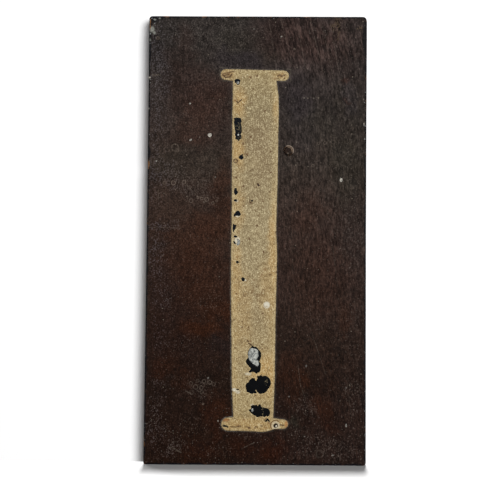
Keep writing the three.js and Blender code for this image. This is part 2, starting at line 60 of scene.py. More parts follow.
coat_low, coat_high = box_mm("ground_coat")
cream_low, cream_high = box_mm("cream_numeral")
board_low, board_high = box_mm("board")
old_low, old_high = box_mm("old_numeral")
CREAM_FACE = cream_low.y
GROUND_FACE = cream_high.y
WOOD_FACE = board_low.y
BACK = board_high.y
COAT_RIM = coat_high.y
ARRIS = BACK - COAT_RIM
COAT_REACH = board_low.x - coat_low.x
TILE_HEIGHT = coat_high.z
CREAM_FILM = GROUND_FACE - CREAM_FACE
nail_places = {}
for nail in ("upper_nail", "lower_nail"):
    nail_low, nail_high = box_mm(nail)
    nail_places[nail] = (nail_low + nail_high) / 2
NAIL_TOP = nail_low.y
NAIL_RADIUS = (nail_high.x - nail_low.x) / 2
print(f"cream face {CREAM_FACE:.2f}, ground face {GROUND_FACE:.2f}, wood {WOOD_FACE:.2f}, back {BACK:.2f}")

# %% [markdown]
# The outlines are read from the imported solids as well. A ring is all the corners at one depth, taken in
# order round the middle of the board. The loops of a painted figure are the edges of its front face that
# only one triangle uses, followed from corner to corner.
# %% Outlines from the frame


def ring_at(node, depth):
    """Outline of a node at one depth, in order round its middle."""
    corners = [corner.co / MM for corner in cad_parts[node].data.vertices]
    found = {(round(p.x, 3), round(p.z, 3)) for p in corners if abs(p.y - depth) < 0.01}
    return np.array(sorted(found, key=lambda p: math.atan2(p[1] - TILE_HEIGHT / 2, p[0])))


def face_loops(node, depth):
    """Closed loops round the flat face of a node that lies at one depth."""
    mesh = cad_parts[node].data
    mesh.calc_loop_triangles()
    sides = set()
    for triangle in mesh.loop_triangles:
        corners = [mesh.vertices[i].co / MM for i in triangle.vertices]
        if max(abs(p.y - depth) for p in corners) > 0.005:
            continue
        flat = [(round(p.x, 3), round(p.z, 3)) for p in corners]
        sides.update(zip(flat, flat[1:] + flat[:1]))
    after = {a: b for a, b in sides if (b, a) not in sides}
    loops = []
    while after:
        start = next(iter(after))
        loop = []
        here = start
        while here in after:
            loop.append(here)
            here = after.pop(here)
        if here == start and len(loop) > 2:
            loops.append(np.array(loop))
    return sorted(loops, key=len, reverse=True)


def signed_area(loop):
    """Area inside a closed loop, below zero where it runs to the right as seen from the front."""
    x, z = loop[:, 0], loop[:, 1]
    return (np.dot(x, np.roll(z, -1)) - np.dot(z, np.roll(x, -1))) / 2


def area(loop):
    return abs(signed_area(loop))


board_ring = ring_at("board", COAT_RIM)
figure_loops = sorted(face_loops("cream_numeral", CREAM_FACE), key=area, reverse=True)
deep_loops = sorted(face_loops("ground_coat", GROUND_FACE), key=area)[:-1]
print(f"{len(board_ring)} corners round the board, {len(figure_loops) - 1} openings in the figure")

# %% [markdown]
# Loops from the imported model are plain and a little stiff. These helpers space their points evenly and
# let them wander, because a brush edge trembles and a flake breaks along a ragged line.
# %% Helpers for outlines


def resample(loop, step):
    """The same closed loop with evenly spaced points."""
    closed = np.vstack([loop, loop[:1]])
    lengths = np.hypot(*np.diff(closed, axis=0).T)
    walked = np.concatenate([[0], np.cumsum(lengths)])
    count = max(8, round(walked[-1] / step))
    at = np.linspace(0, walked[-1], count, endpoint=False)
    return np.column_stack([np.interp(at, walked, closed[:, axis]) for axis in (0, 1)])


def outward(loop):
    """Unit normals of a closed loop, pointing away from the area inside it."""
    along = np.roll(loop, -1, axis=0) - np.roll(loop, 1, axis=0)
    normals = np.column_stack([along[:, 1], -along[:, 0]])
    normals /= np.maximum(np.hypot(*normals.T), 1e-9)[:, None]
    return normals if signed_area(loop) > 0 else -normals


def grown(loop, amount):
    return loop + outward(loop) * amount


def wander(x, y, z, size):
    """Smooth wandering value from about -1 to 1 whose swells are as wide as size."""
    return noise.noise(Vector((x / size, y / size, z / size)), noise_basis="PERLIN_ORIGINAL")


def roughened(loop, amount, size, seed):
    drift = np.array([wander(x, seed * 7.3, z, size) for x, z in loop])
    return loop + outward(loop) * (drift * amount)[:, None]


def inside(loop, points):
    """True for each point that lies inside the closed loop."""
    result = np.zeros(len(points), bool)
    x, z = points[:, 0], points[:, 1]
    for (ax, az), (bx, bz) in zip(loop, np.roll(loop, -1, axis=0)):
        if az != bz:
            result ^= ((az > z) != (bz > z)) & (x < (bx - ax) * (z - az) / (bz - az) + ax)
    return result


DOT_STEP = 0.12


def distance_to(loops, points):
    """How far each point lies from the nearest of the loops, looked up in a tree of closely spaced dots."""
    dots = np.vstack([resample(loop, DOT_STEP) for loop in loops])
    tree = KDTree(len(dots))
    for number, (x, z) in enumerate(dots.tolist()):
        tree.insert((x, 0, z), number)
    tree.balance()
    return np.array([tree.find((x, 0, z))[2] for x, z in points.tolist()])

# %% [markdown]
# Now the outlines of this tile. The edge of the figure trembles twice, in wide swells and in narrow ones.
# Large flakes broke along a rougher line than small ones. Loops close to a nail are nail holes, not flakes.
# %% Ragged outlines of this tile
FLAKE_STEP = 0.34
FLAKE_GROWTH = 0.12
LARGE_FLAKE = 4  # square millimetres, from which a flake breaks along a rougher line
RAGGED, RAGGED_LARGE = 0.14, 0.24
TOOTH_SIZE = 0.8
NAIL_REACH = 4  # loops nearer to a nail than this are nail holes and not flakes
tile_edge = grown(resample(board_ring, 0.8), COAT_REACH)
figure_edge = roughened(resample(figure_loops[0], 0.6), 0.14, 3.2, 1)
figure_edge = roughened(figure_edge, 0.16, 1.3, 3)
flakes = []
for number, loop in enumerate(figure_loops[1:]):
    amount = RAGGED_LARGE if area(loop) > LARGE_FLAKE else RAGGED
    smooth = grown(resample(loop, FLAKE_STEP), FLAKE_GROWTH)
    flakes.append(roughened(smooth, amount, TOOTH_SIZE, number + 2))
nail_spots = np.array([[p.x, p.z] for p in nail_places.values()])
deep_flakes = [
    roughened(resample(loop, FLAKE_STEP), RAGGED, TOOTH_SIZE, number + 40)
    for number, loop in enumerate(deep_loops)
    if distance_to([loop], nail_spots).min() > NAIL_REACH
]
print(f"tile edge {len(tile_edge)} points, {len(flakes)} flakes, {len(deep_flakes)} deep flakes")

# %% [markdown]
# A flat face is filled with small triangles between its loops, finer where something happens. Blender
# brings a triangulator for this, and it keeps the loops as edges. Triangles in the openings are dropped.
# %% Helpers for faces
TILE_AREA = ((-76, 0), (76, 306))  # a little more than the tile covers, across and up
ROW_SHARE = 0.866  # rows of a staggered grid lie this much closer together than its columns
NUDGE = 0.14


def grid(low, high, step, seed):
    """Points on a staggered grid, each nudged a little so that no pattern shows."""
    random = np.random.default_rng(seed)
    columns = np.arange(low[0], high[0], step)
    rows = np.arange(low[1], high[1], step * ROW_SHARE)
    x, z = np.meshgrid(columns, rows)
    x[1::2] += step / 2
    points = np.column_stack([x.ravel(), z.ravel()])
    return points + random.uniform(-NUDGE, NUDGE, points.shape) * step


def fill(outer, holes, inner):
    """Triangles inside the outer loop and outside the holes, with the inner points as corners."""
    points = [outer, *holes, inner]
    sides = []
    start = 0
    for loop in points[:-1]:
        count = len(loop)
        sides += [(start + i, start + (i + 1) % count) for i in range(count)]
        start += count
    made = delaunay_2d_cdt([Vector(p) for p in np.vstack(points)], sides, [], 1, 1e-6)
    places = np.array([tuple(p) for p in made[0]])
    triangles = np.array([face for face in made[2] if len(face) == 3])
    middles = places[triangles].mean(axis=1)
    keep = inside(outer, middles)
    for hole in holes:
        keep &= ~inside(hole, middles)
    return places, triangles[keep]


# %% [markdown]
# Triangles share their corners, so that light runs smoothly over them. This class collects them. It also
# knows strips between rings, because rounded edges, holes, nails and drops are all built from rings.
# %% A skin of triangles


class Skin:
    """Triangles that share their corners, in millimetres, on the way to becoming one piece."""

    def __init__(self):
        self.points = []
        self.faces = []
        self.known = {}

    def corner(self, point):
        key = tuple(round(float(c), 3) + 0.0 for c in point)
        if key not in self.known:
            self.known[key] = len(self.points)
            self.points.append(key)
        return self.known[key]

    def face(self, *points):
        corners = [self.corner(p) for p in points]
        if len(set(corners)) == 3:
            self.faces.append(corners)

    def flat(self, places, triangles, depth, towards_viewer=True):
        """A filled face at one depth. Seen from the front its corners run to the left or to the right."""
        for a, b, c in places[triangles]:
            (ax, az), (bx, bz), (cx, cz) = a, b, c
            turns_left = (bx - ax) * (cz - az) - (bz - az) * (cx - ax) > 0
            if turns_left != towards_viewer:
                bx, bz, cx, cz = cx, cz, bx, bz
            self.face((ax, depth, az), (bx, depth, bz), (cx, depth, cz))

    def band(self, near, far):
        """A strip of triangles between two closed rings with the same number of points."""
        count = len(near)
        for i in range(count):
            j = (i + 1) % count
            self.face(near[i], far[i], far[j])
            self.face(near[i], far[j], near[j])

    def bands(self, rings):
        """Strips between all neighbours in a run of rings."""
        for near, far in zip(rings, rings[1:]):
            self.band(near, far)

    def array(self):
        return np.array(self.points), np.array(self.faces)


def ring(loop, depth):
    return [(x, depth, z) for x, z in loop]


def turned_left(loop):
    """The same loop, running to the left as seen from the front."""
    return loop if signed_area(loop) > 0 else loop[::-1]


# %% [markdown]
# Paint isn't a surface but a film with two sides and a broken edge. One helper cuts part of a sheet away
# along a wandering line, and the next gives the rest its thickness and closes the cut edge.
# %% Helpers for films


def cut_away(points, triangles, field):
    """Keeps the part of a sheet where the field is above zero, with new corners along the zero line."""
    points = list(map(tuple, points))
    crossing = {}

    def between(a, b):
        key = (min(a, b), max(a, b))
        if key not in crossing:
            share = field[a] / (field[a] - field[b])
            place = np.array(points[a]) * (1 - share) + np.array(points[b]) * share
            crossing[key] = len(points)
            points.append(tuple(place))
        return crossing[key]

    kept = []
    for triangle in triangles:
        above = [field[corner] > 0 for corner in triangle]
        if all(above):
            kept.append(list(triangle))
        elif any(above):
            outline = []
            for a, b in zip(triangle, np.roll(triangle, -1)):
                if field[a] > 0:
                    outline.append(a)
                if (field[a] > 0) != (field[b] > 0):
                    outline.append(between(a, b))
            kept += [[outline[0], outline[i], outline[i + 1]] for i in range(1, len(outline) - 1)]
    return np.array(points), np.array(kept)


def corner_normals(points, triangles):
    a, b, c = (points[triangles[:, i]] for i in range(3))
    across = np.cross(b - a, c - a)
    normals = np.zeros_like(points)
    for i in range(3):
        np.add.at(normals, triangles[:, i], across)
    return normals / np.maximum(np.linalg.norm(normals, axis=1), 1e-12)[:, None]


def close_sheet(points, triangles, far_points):
    """Adds a second side to a sheet and joins the two along every open edge."""
    count = len(points)
    sides = {(a, b) for t in triangles for a, b in zip(t, np.roll(t, -1))}
    rim = [(a, b) for a, b in sides if (b, a) not in sides]
    walls = [t for a, b in rim for t in ((b, a, a + count), (b, a + count, b + count))]
    faces = np.vstack([triangles, triangles[:, ::-1] + count, np.array(walls)])
    return np.vstack([points, far_points]), faces


# %% [markdown]
# Every mesh becomes a piece in the same way. It gets a name, smooth shading with sharp creases and the
# values that its finish will need. It rides on the tile's body and hides the imported solid it stands for.
# %% A helper that makes a piece


def make_piece(name, points, faces, stands_for, fields=None, sharp=35):
    """Turns points in millimetres into a named piece that rides on the tile."""
    mesh = bpy.data.meshes.new(name)
    mesh.from_pydata((np.asarray(points) * MM).tolist(), [], np.asarray(faces).tolist())
    mesh.shade_smooth()
    mesh.set_sharp_from_angle(angle=math.radians(sharp))
    for label, values in (fields or {}).items():
        mesh.attributes.new(label, "FLOAT", "POINT").data.foreach_set("value", values)
    piece = bpy.data.objects.new(name, mesh)
    bpy.context.scene.collection.objects.link(piece)
    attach(piece, "root")
    if stands_for:
        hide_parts(*stands_for)
    print(f"{name}: {len(mesh.vertices)} corners, {len(mesh.polygons)} faces")
    return piece


# %% [markdown]
# The board. On the real tile it is one plank, sawn to size and planed, with its long edges rubbed round
# by handling. It is built as a front face, a run of rings over both rounded edges, and a back face. The
# nail holes are drilled as rings that step down from the seat of the head to the pilot hole.
# %% The board
ARRIS_ANGLES = [math.radians(angle) for angle in (0, 18, 36, 54, 72, 90)]
SEAT_PLAY = 0.3
SEAT_RADIUS = NAIL_RADIUS + SEAT_PLAY
SEAT_FLOOR = NAIL_TOP + 0.9
PILOT_RADIUS = 1.5
PILOT_FLOOR = 4.74
HOLE_SIDES = 32


def front_round(radius, face):
    """Insets and depths over the rounded front edge, from the face to the side."""
    steps = [(1 - math.sin(angle), 1 - math.cos(angle)) for angle in ARRIS_ANGLES]
    return [(radius * inset, face + radius * drop) for inset, drop in steps]


def circle(place, radius, count):
    turns = np.linspace(0, 2 * math.pi, count, endpoint=False)
    return np.column_stack([place.x + radius * np.cos(turns), place.z + radius * np.sin(turns)])


def drill(skin, place, steps):
    """A stepped round hole: rings of (radius, depth) and a closed bottom."""
    rings = [ring(circle(place, radius, HOLE_SIDES), depth) for radius, depth in steps]
    skin.bands(rings)
    bottom = rings[-1]
    middle = (place.x, steps[-1][1], place.z)
    for i, point in enumerate(bottom):
        skin.face(point, middle, bottom[(i + 1) % len(bottom)])


board_edge = turned_left(resample(board_ring, 1.6))
wood = Skin()
profile = front_round(ARRIS, WOOD_FACE)
profile += [(0, depth) for depth in np.linspace(WOOD_FACE + ARRIS, COAT_RIM, 7)[1:-1]]
profile += [(inset, WOOD_FACE + BACK - depth) for inset, depth in front_round(ARRIS, WOOD_FACE)[::-1]]
wood.bands([ring(grown(board_edge, -inset), depth) for inset, depth in profile])
seats = [circle(place, SEAT_RADIUS, HOLE_SIDES) for place in nail_places.values()]
face_edge = grown(board_edge, -ARRIS)
for depth, holes, step in ((WOOD_FACE, seats, 5.0), (BACK, [], 2.2)):
    dots = grid(*TILE_AREA, step, 5)
    dots = dots[inside(face_edge, dots)]
    dots = dots[distance_to([face_edge, *holes], dots) > step * 0.45]
    places, triangles = fill(face_edge, holes, dots)
    wood.flat(places, triangles, depth, towards_viewer=depth < 0)
hole_steps = [
    (SEAT_RADIUS, WOOD_FACE), (SEAT_RADIUS, SEAT_FLOOR), (PILOT_RADIUS, SEAT_FLOOR),
    (PILOT_RADIUS, PILOT_FLOOR),
]
for place in nail_places.values():
    drill(wood, place, hole_steps)
wood_points, wood_faces = wood.array()
print(f"board skin: {len(wood_points)} corners")

# %% [markdown]
# Wood moves and wears. The back keeps the long shallow hollows of the plane and a few dents, and its
# edges are knocked. All of it only takes wood away, so the board never grows out of its true size.
# %% Plane marks and knocks on the board
# dents of (across, up, radius)
BACK_DENTS = [(-41, 214, 5.5), (28, 262, 3.4), (52, 118, 7), (-22, 71, 4.2), (8, 158, 2.6), (-58, 28, 5)]
STROKE_DEPTH = 0.05
DENT_DEPTH = 0.22
A_HAIR = 0.001
NEAR_SIDE, NEAR_TOP = 70, TILE_HEIGHT - 3


def wear_back(x, z):
    """How deep the back is hollowed at a place, from plane strokes and dents."""
    strokes = STROKE_DEPTH * (1 + math.sin(x / 3.1 + 2.2 * wander(x, 3, z, 60)))
    hollow = strokes + 0.1 * max(0, wander(x, 11, z, 34))
    for dent_x, dent_z, radius in BACK_DENTS:
        share = math.hypot((x - dent_x) / radius, (z - dent_z) / (radius * 1.7))
        hollow += DENT_DEPTH * max(0, 1 - share**2)
    return hollow


for i, (x, y, z) in enumerate(wood_points):
    if y > BACK - A_HAIR:
        wood_points[i, 1] = y - wear_back(x, z)
    elif y > COAT_RIM - A_HAIR:
        knock = 0.34 * max(0, wander(x, y, z, 9) - 0.08) + 0.12 * max(0, wander(x, y, z, 2.4))
        wood_points[i, 1] = y - knock
        wood_points[i, 0] = x - math.copysign(knock * (abs(x) > NEAR_SIDE), x)
        wood_points[i, 2] = z - math.copysign(knock * (z > NEAR_TOP), 1)
board_piece = make_piece("board_wood", wood_points, wood_faces, ["board"], sharp=50)

# %% [markdown]
# The ground coat. It lies over the face and was brushed round the four edges, so its mesh is one sheet
# that runs from the face over the rounded edge and down the sides. The points are packed closest along
# the edges and round the figure, where chips, rubbed places and the brush edge need them.
# %% The ground coat as one sheet
SIDE_DEPTHS = (-4.5, -3.6, -2.4, -0.9, 0.9, 2.6, 4.2, COAT_RIM)
PAINT_PLAY = 0.16  # the paint stops this far from the head of a nail
CLEAR_OF_HOLES = 0.25
coat_edge = turned_left(tile_edge)
coat = Skin()
coat_profile = front_round(ARRIS, GROUND_FACE)
coat_profile += [(0, depth) for depth in SIDE_DEPTHS]
coat.bands([ring(grown(coat_edge, -inset), depth) for inset, depth in coat_profile])
coat_face_edge = grown(coat_edge, -ARRIS)
coat_seats = [circle(place, NAIL_RADIUS + PAINT_PLAY, 40) for place in nail_places.values()]
coat_holes = [*deep_flakes, *coat_seats]
DOT_AREAS = [
    # step, least and greatest distance from the edge, greatest distance from the figure or None
    (0.85, 0.4, 4.5, None),
    (2.0, 4.2, 99, None),
    (0.95, 4.5, 99, 3.2),
]
AWAY_FROM_FIGURE = 3.0
dots = []
for step, least, greatest, near_figure in DOT_AREAS:
    fresh = grid(*TILE_AREA, step, 9 + len(dots))
    fresh = fresh[inside(coat_face_edge, fresh)]
    from_edge = distance_to([coat_face_edge], fresh)
    from_figure = distance_to([figure_edge], fresh)
    keep = (from_edge > least) & (from_edge <= greatest)
    keep &= (from_figure <= near_figure) if near_figure else (from_figure > AWAY_FROM_FIGURE)
    dots.append(fresh[keep])
dots = np.vstack(dots)
dots = dots[distance_to(coat_holes, dots) > CLEAR_OF_HOLES]
for hole in coat_holes:
    dots = dots[~inside(hole, dots)]
places, triangles = fill(coat_face_edge, coat_holes, dots)
coat.flat(places, triangles, GROUND_FACE)
coat_points, coat_faces = coat.array()
print(f"coat sheet: {len(coat_points)} corners, {len(coat_faces)} triangles")

# %% [markdown]
# At the corners and along parts of the sides the coat is rubbed through and bare wood shows. Each rubbed
# place is a flattened ball in space whose surface is made ragged, and the sheet is cut where they meet.
# %% Rubbed places
RUBBED = [
    # centre across and up, then half sizes across, in depth and up
    (-73.5, 299.2, 1.3, 1.9, 4.8),
    (-74.0, 203.6, 1.4, 2.0, 3.4),
    (-74.7, 166.0, 0.5, 1.2, 4.0),
    (-75.9, 1.2, 0.9, 1.8, 1.6),
    (75.2, 303.4, 1.3, 2.2, 2.6),
    (76.0, 9.7, 0.7, 1.5, 6.2),
    (75.4, 146.0, 0.35, 1.1, 6.0),
]


def rubbed_field(points):
    """Above zero where the coat is whole, below zero inside a rubbed place."""
    field = np.full(len(points), 9.0)
    for x, z, wide, deep, high in RUBBED:
        offset = (points - (x, GROUND_FACE, z)) / (wide, deep, high)
        field = np.minimum(field, np.linalg.norm(offset, axis=1) - 1)
    near = np.flatnonzero(field < 1.2)
    for i in near:
        px, py, pz = points[i]
        field[i] += 0.5 * wander(px, py, pz, 1.9) + 0.22 * wander(px, py + 9, pz, 0.8)
    return field


coat_points, coat_faces = cut_away(coat_points, coat_faces, rubbed_field(coat_points))
print(f"coat after rubbing: {len(coat_faces)} triangles")

# %% [markdown]
# The sheet then gets its relief. The planed wood below makes it swell a little, and the square-ended
# older figure stands out as a faint ridge, because paint over paint is thicker. The second side of the
# film follows at a film's thickness, thinner over the older figure so that the coats don't run together.
# %% Relief and thickness of the ground coat
OLD_SERIF = 8.7
OLD_STEM_HALF = 15.7
SOFT_STEP = 0.5
FACE_BLEND = 0.25
FILM = 0.2
THINNER_ON_OLD = 0.11
OLD_RIDGE = 0.06


def old_figure_share(points):
    """1 on the older figure and 0 off it, with a soft step at its edge."""
    x, z = points[:, 0], points[:, 2]
    middle = (old_low.x + old_high.x) / 2

    def bar(centre_z, half_high, half_wide):
        away = np.maximum(np.abs(x - middle) - half_wide, np.abs(z - centre_z) - half_high)
        return np.clip(0.5 - away / SOFT_STEP, 0, 1)

    stem = bar((old_low.z + old_high.z) / 2, (old_high.z - old_low.z) / 2, OLD_STEM_HALF)
    foot = bar(old_low.z + OLD_SERIF / 2, OLD_SERIF / 2, (old_high.x - old_low.x) / 2)
    head = bar(old_high.z - OLD_SERIF / 2, OLD_SERIF / 2, (old_high.x - old_low.x) / 2)
    return np.maximum(np.maximum(stem, foot), head)


on_old = old_figure_share(coat_points)
on_face = np.clip((GROUND_FACE + FACE_BLEND - coat_points[:, 1]) / FACE_BLEND, 0, 1)
swell = np.array([
    0.035 * (1 + wander(x, 5, z, 26)) + 0.02 * (1 + wander(x * 3, 8, z, 5)) for x, y, z in coat_points
])
normals = corner_normals(coat_points, coat_faces)
side_swell = np.array([0.05 * max(0, wander(x, y, z, 7) + 0.2) for x, y, z in coat_points])
sink = np.where(on_face > 0, swell * on_face - OLD_RIDGE * on_old * on_face, side_swell)
coat_outer = coat_points - normals * np.maximum(sink, -OLD_RIDGE)[:, None]
thickness = FILM - THINNER_ON_OLD * on_old * on_face
coat_inner = coat_outer - normals * thickness[:, None]
coat_points, coat_faces = close_sheet(coat_outer, coat_faces, coat_inner)
flat_places = coat_points[:, [0, 2]]
from_figure = distance_to([figure_edge], flat_places)
from_figure *= np.where(inside(figure_edge, flat_places), -1, 1)
from_rim = distance_to([coat_edge], flat_places)
coat_piece = make_piece(
    "ground_paint_coat", coat_points, coat_faces, ["ground_coat"],
    {"from_figure": from_figure, "from_rim": from_rim}, sharp=60,
)

# %% [markdown]
# The cream figure is a thin film with a brush edge and twenty openings. Points beside every edge let the
# film round over and stand a trifle thicker just inside it, where wet paint gathers. Long ridges left by
# the brush hairs run up and down the stem.
# %% The cream figure
FIGURE_AREA = ((-30, 20), (30, 272))
EDGE_BEAD = 0.6  # how far inside an edge the wet paint gathered
BEAD_WIDTH = 0.5
ROUNDED = 0.34  # how far in from an edge the film is rounded over
FILM_SEAT = 0.015
BESIDE_OUTLINE, BESIDE_FLAKE = -0.3, 0.28
CLEAR_OF_LOOPS = 0.2
cream_loops = [figure_edge, *flakes]
beside = [grown(figure_edge, BESIDE_OUTLINE), *[grown(loop, BESIDE_FLAKE) for loop in flakes]]
dots = np.vstack([grid(*FIGURE_AREA, 0.85, 31), *beside])
dots = dots[inside(figure_edge, dots)]
for loop in flakes:
    dots = dots[~inside(loop, dots)]
dots = dots[distance_to(cream_loops, dots) > CLEAR_OF_LOOPS]
places, triangles = fill(figure_edge, flakes, dots)
film = Skin()
film.flat(places, triangles, CREAM_FACE)
film_points, film_faces = film.array()
from_edge = distance_to(cream_loops, film_points[:, [0, 2]])
rounding = np.clip(from_edge / ROUNDED, 0, 1)
bead = np.exp(-(((from_edge - EDGE_BEAD) / BEAD_WIDTH) ** 2))
hairs = np.array([
    0.5 * wander(x * 3.4, 2, z * 0.12, 2.6) + 0.5 * wander(x * 7, 6, z * 0.2, 2.4)
    for x, y, z in film_points
])
height = CREAM_FILM * (0.42 + 0.4 * np.sqrt(rounding) + 0.1 * bead + 0.1 * hairs * rounding)
film_points[:, 1] = np.maximum(GROUND_FACE - height, CREAM_FACE)
film_back = film_points.copy()
film_back[:, 1] = GROUND_FACE + FILM_SEAT
film_points, film_faces = close_sheet(film_points, film_faces, film_back)
from_outer = distance_to([figure_edge], film_points[:, [0, 2]])
from_flake = distance_to(flakes, film_points[:, [0, 2]])
cream_piece = make_piece(
    "cream_figure", film_points, film_faces, ["cream_numeral"],
    {"from_outline": from_outer, "from_flake": from_flake}, sharp=50,
)

# %% [markdown]
# Two small nails hold nothing now, but their heads still show. Each is forged in one piece: a flat head
# with hammer facets, a shank and a point. The head of the upper one is sunk in a ring of paint.
# %% The nails
NAIL_SIDES = 40
NAIL_PROFILE = [
    # radius and how far below the top of the head: the crown, its underside, the shank and the point
    (0.35, 0), (0.9, 0), (1.5, 0.01), (2.1, 0.02), (2.55, 0.07), (2.85, 0.18), (3.0, 0.34),
    (NAIL_RADIUS, 0.85), (1.25, 0.88), (1.2, 4), (1.2, 8.1), (0.15, 10.4),
]
FACET_RINGS = 6
FACET_DEPTH = 0.09


def nail_mesh(name, place, seed):
    skin = Skin()
    rings = []
    for number, (radius, fall) in enumerate(NAIL_PROFILE):
        depth = NAIL_TOP + fall
        points = []
        for x, z in circle(place, radius, NAIL_SIDES):
            facet = FACET_DEPTH * wander(x + seed * 3, 4, z, 1.6) if number < FACET_RINGS else 0
            points.append((x, max(depth + facet + 0.05, NAIL_TOP), z))
        rings.append(points)
    skin.bands(rings)
    for i in range(NAIL_SIDES):
        j = (i + 1) % NAIL_SIDES
        skin.face((place.x, NAIL_TOP + 0.04, place.z), rings[0][i], rings[0][j])
    for i in range(NAIL_SIDES):
        j = (i + 1) % NAIL_SIDES
        skin.face(rings[-1][i], (place.x, NAIL_TOP + 10.5, place.z), rings[-1][j])
    points, faces = skin.array()
    return make_piece(f"{name}_forged", points, faces, [name], sharp=40)


nail_pieces = {name: nail_mesh(name, place, i) for i, (name, place) in enumerate(nail_places.items())}

# %% [markdown]
# White paint has been spattered over the tile, and the drops have dried as tiny domes. They are real
# little bodies, joined in one mesh, because the light catches their rims. Some are round and others were
# wiped into a short dash, and the last number of each says how clean its white has stayed.
# %% Dried paint drops
DROP_SIDES = 14
DROP_RIM = GROUND_FACE + 0.03
DROP_ROOT = GROUND_FACE + 0.1
DROPS = [
    # across, up, radius, length beside width, tilt in degrees, how clean from 0 to 1
    (-31.8, 224.1, 1.35, 1.0, 0, 0.68),
    (-45.4, 245.4, 0.62, 1.1, 0, 0.58),
    (16.4, 291.3, 0.55, 1.2, 30, 0.34),
    (57.7, 194.2, 1.05, 1.25, 80, 1.0),
    (-44.7, 220.7, 0.7, 1.5, 30, 0.58),
    (-68.0, 206.3, 0.55, 1.0, 0, 0.5),
    (-27.8, 195.6, 0.5, 1.0, 0, 0.15),
    (-31.9, 59.1, 0.6, 1.3, 60, 0.12),
    (-24.9, 29.9, 0.55, 1.4, 80, 0.2),
    (62.1, 27.4, 0.6, 2.2, 90, 0.4),
    (61.9, 53.0, 0.55, 1.3, 90, 0.0),
    (53.1, 7.0, 0.5, 2.2, 20, 0.14),
    (34.7, 67.6, 0.65, 1.5, 80, 0.0),
    (23.1, 46.8, 0.55, 1.4, 10, 0.0),
    (33.9, 19.7, 0.5, 1.2, 0, 0.08),
    (-72.9, 263.0, 0.6, 1.6, 0, 0.35),
    (-73.3, 242.0, 0.4, 1.6, 60, 0.3),
    (32.1, 249.7, 0.4, 1.6, 0, 0.15),
    (38.6, 249.5, 0.45, 1.2, 0, 0.05),
    (-2.2, 296.4, 0.4, 1.2, 0, 0.3),
    (-38.7, 222.6, 0.4, 1.2, 0, 0.1),
    (72.6, 249.0, 0.45, 1.4, 90, 0.1),
    (72.9, 232.0, 0.5, 2.4, 90, 0.25),
    (-4.0, 281.0, 0.3, 1.0, 0, 0.0),
    (63.6, 134.5, 0.3, 2.0, 80, 0.0),
    (-15.0, 61.0, 0.35, 1.3, 70, 0.25),
]


def add_drop(skin, x, z, radius, length, tilt):
    """A dome with a rim that thins out, a few hundredths of a millimetre proud of the coat."""
    turn = math.radians(tilt)
    rise = min(0.16, radius * 0.22)
    rings = []
    for share, up in ((1.0, 0.0), (0.86, 0.55), (0.55, 0.9)):
        points = []
        for i in range(DROP_SIDES):
            angle = 2 * math.pi * i / DROP_SIDES
            ragged = 1 + 0.22 * wander(x + 9 * math.cos(angle), 1, z + 9 * math.sin(angle), 6)
            u = math.cos(angle) * radius * share * length * ragged
            v = math.sin(angle) * radius * share * ragged
            place_x = x + u * math.cos(turn) - v * math.sin(turn)
            place_z = z + u * math.sin(turn) + v * math.cos(turn)
            points.append((place_x, DROP_RIM - rise * up, place_z))
        rings.append(points)
    back = [(px, DROP_ROOT, pz) for px, _, pz in rings[0]]
    skin.band(rings[0], back)
    skin.band(rings[1], rings[0])
    skin.band(rings[2], rings[1])
    for i in range(DROP_SIDES):
        j = (i + 1) % DROP_SIDES
        skin.face((x, DROP_RIM - rise, z), rings[2][i], rings[2][j])
        skin.face(back[i], (x, DROP_ROOT, z), back[j])


drops = Skin()
cleanness = []
for *shape, clean in DROPS:
    add_drop(drops, *shape)
    cleanness += [clean] * (len(drops.points) - len(cleanness))
drop_points, drop_faces = drops.array()
drops_piece = make_piece(
    "paint_drops", drop_points, drop_faces, [], {"cleanness": cleanness}, sharp=60
)

# %% [markdown]
# Finishes come next. This small helper lays nodes in a material and joins them, so that each finish below
# reads as a recipe. Every place is given in millimetres, and colours as they'd be read off a screen,
# turned into the light values that a renderer works with.
# %% A helper for nodes


def tone(red, green, blue):
    """A screen colour from 0 to 255 as light values with full cover."""
    values = [channel / 255 for channel in (red, green, blue)]
    light = [v / 12.92 if v <= 0.04045 else ((v + 0.055) / 1.055) ** 2.4 for v in values]
    return (*light, 1.0)


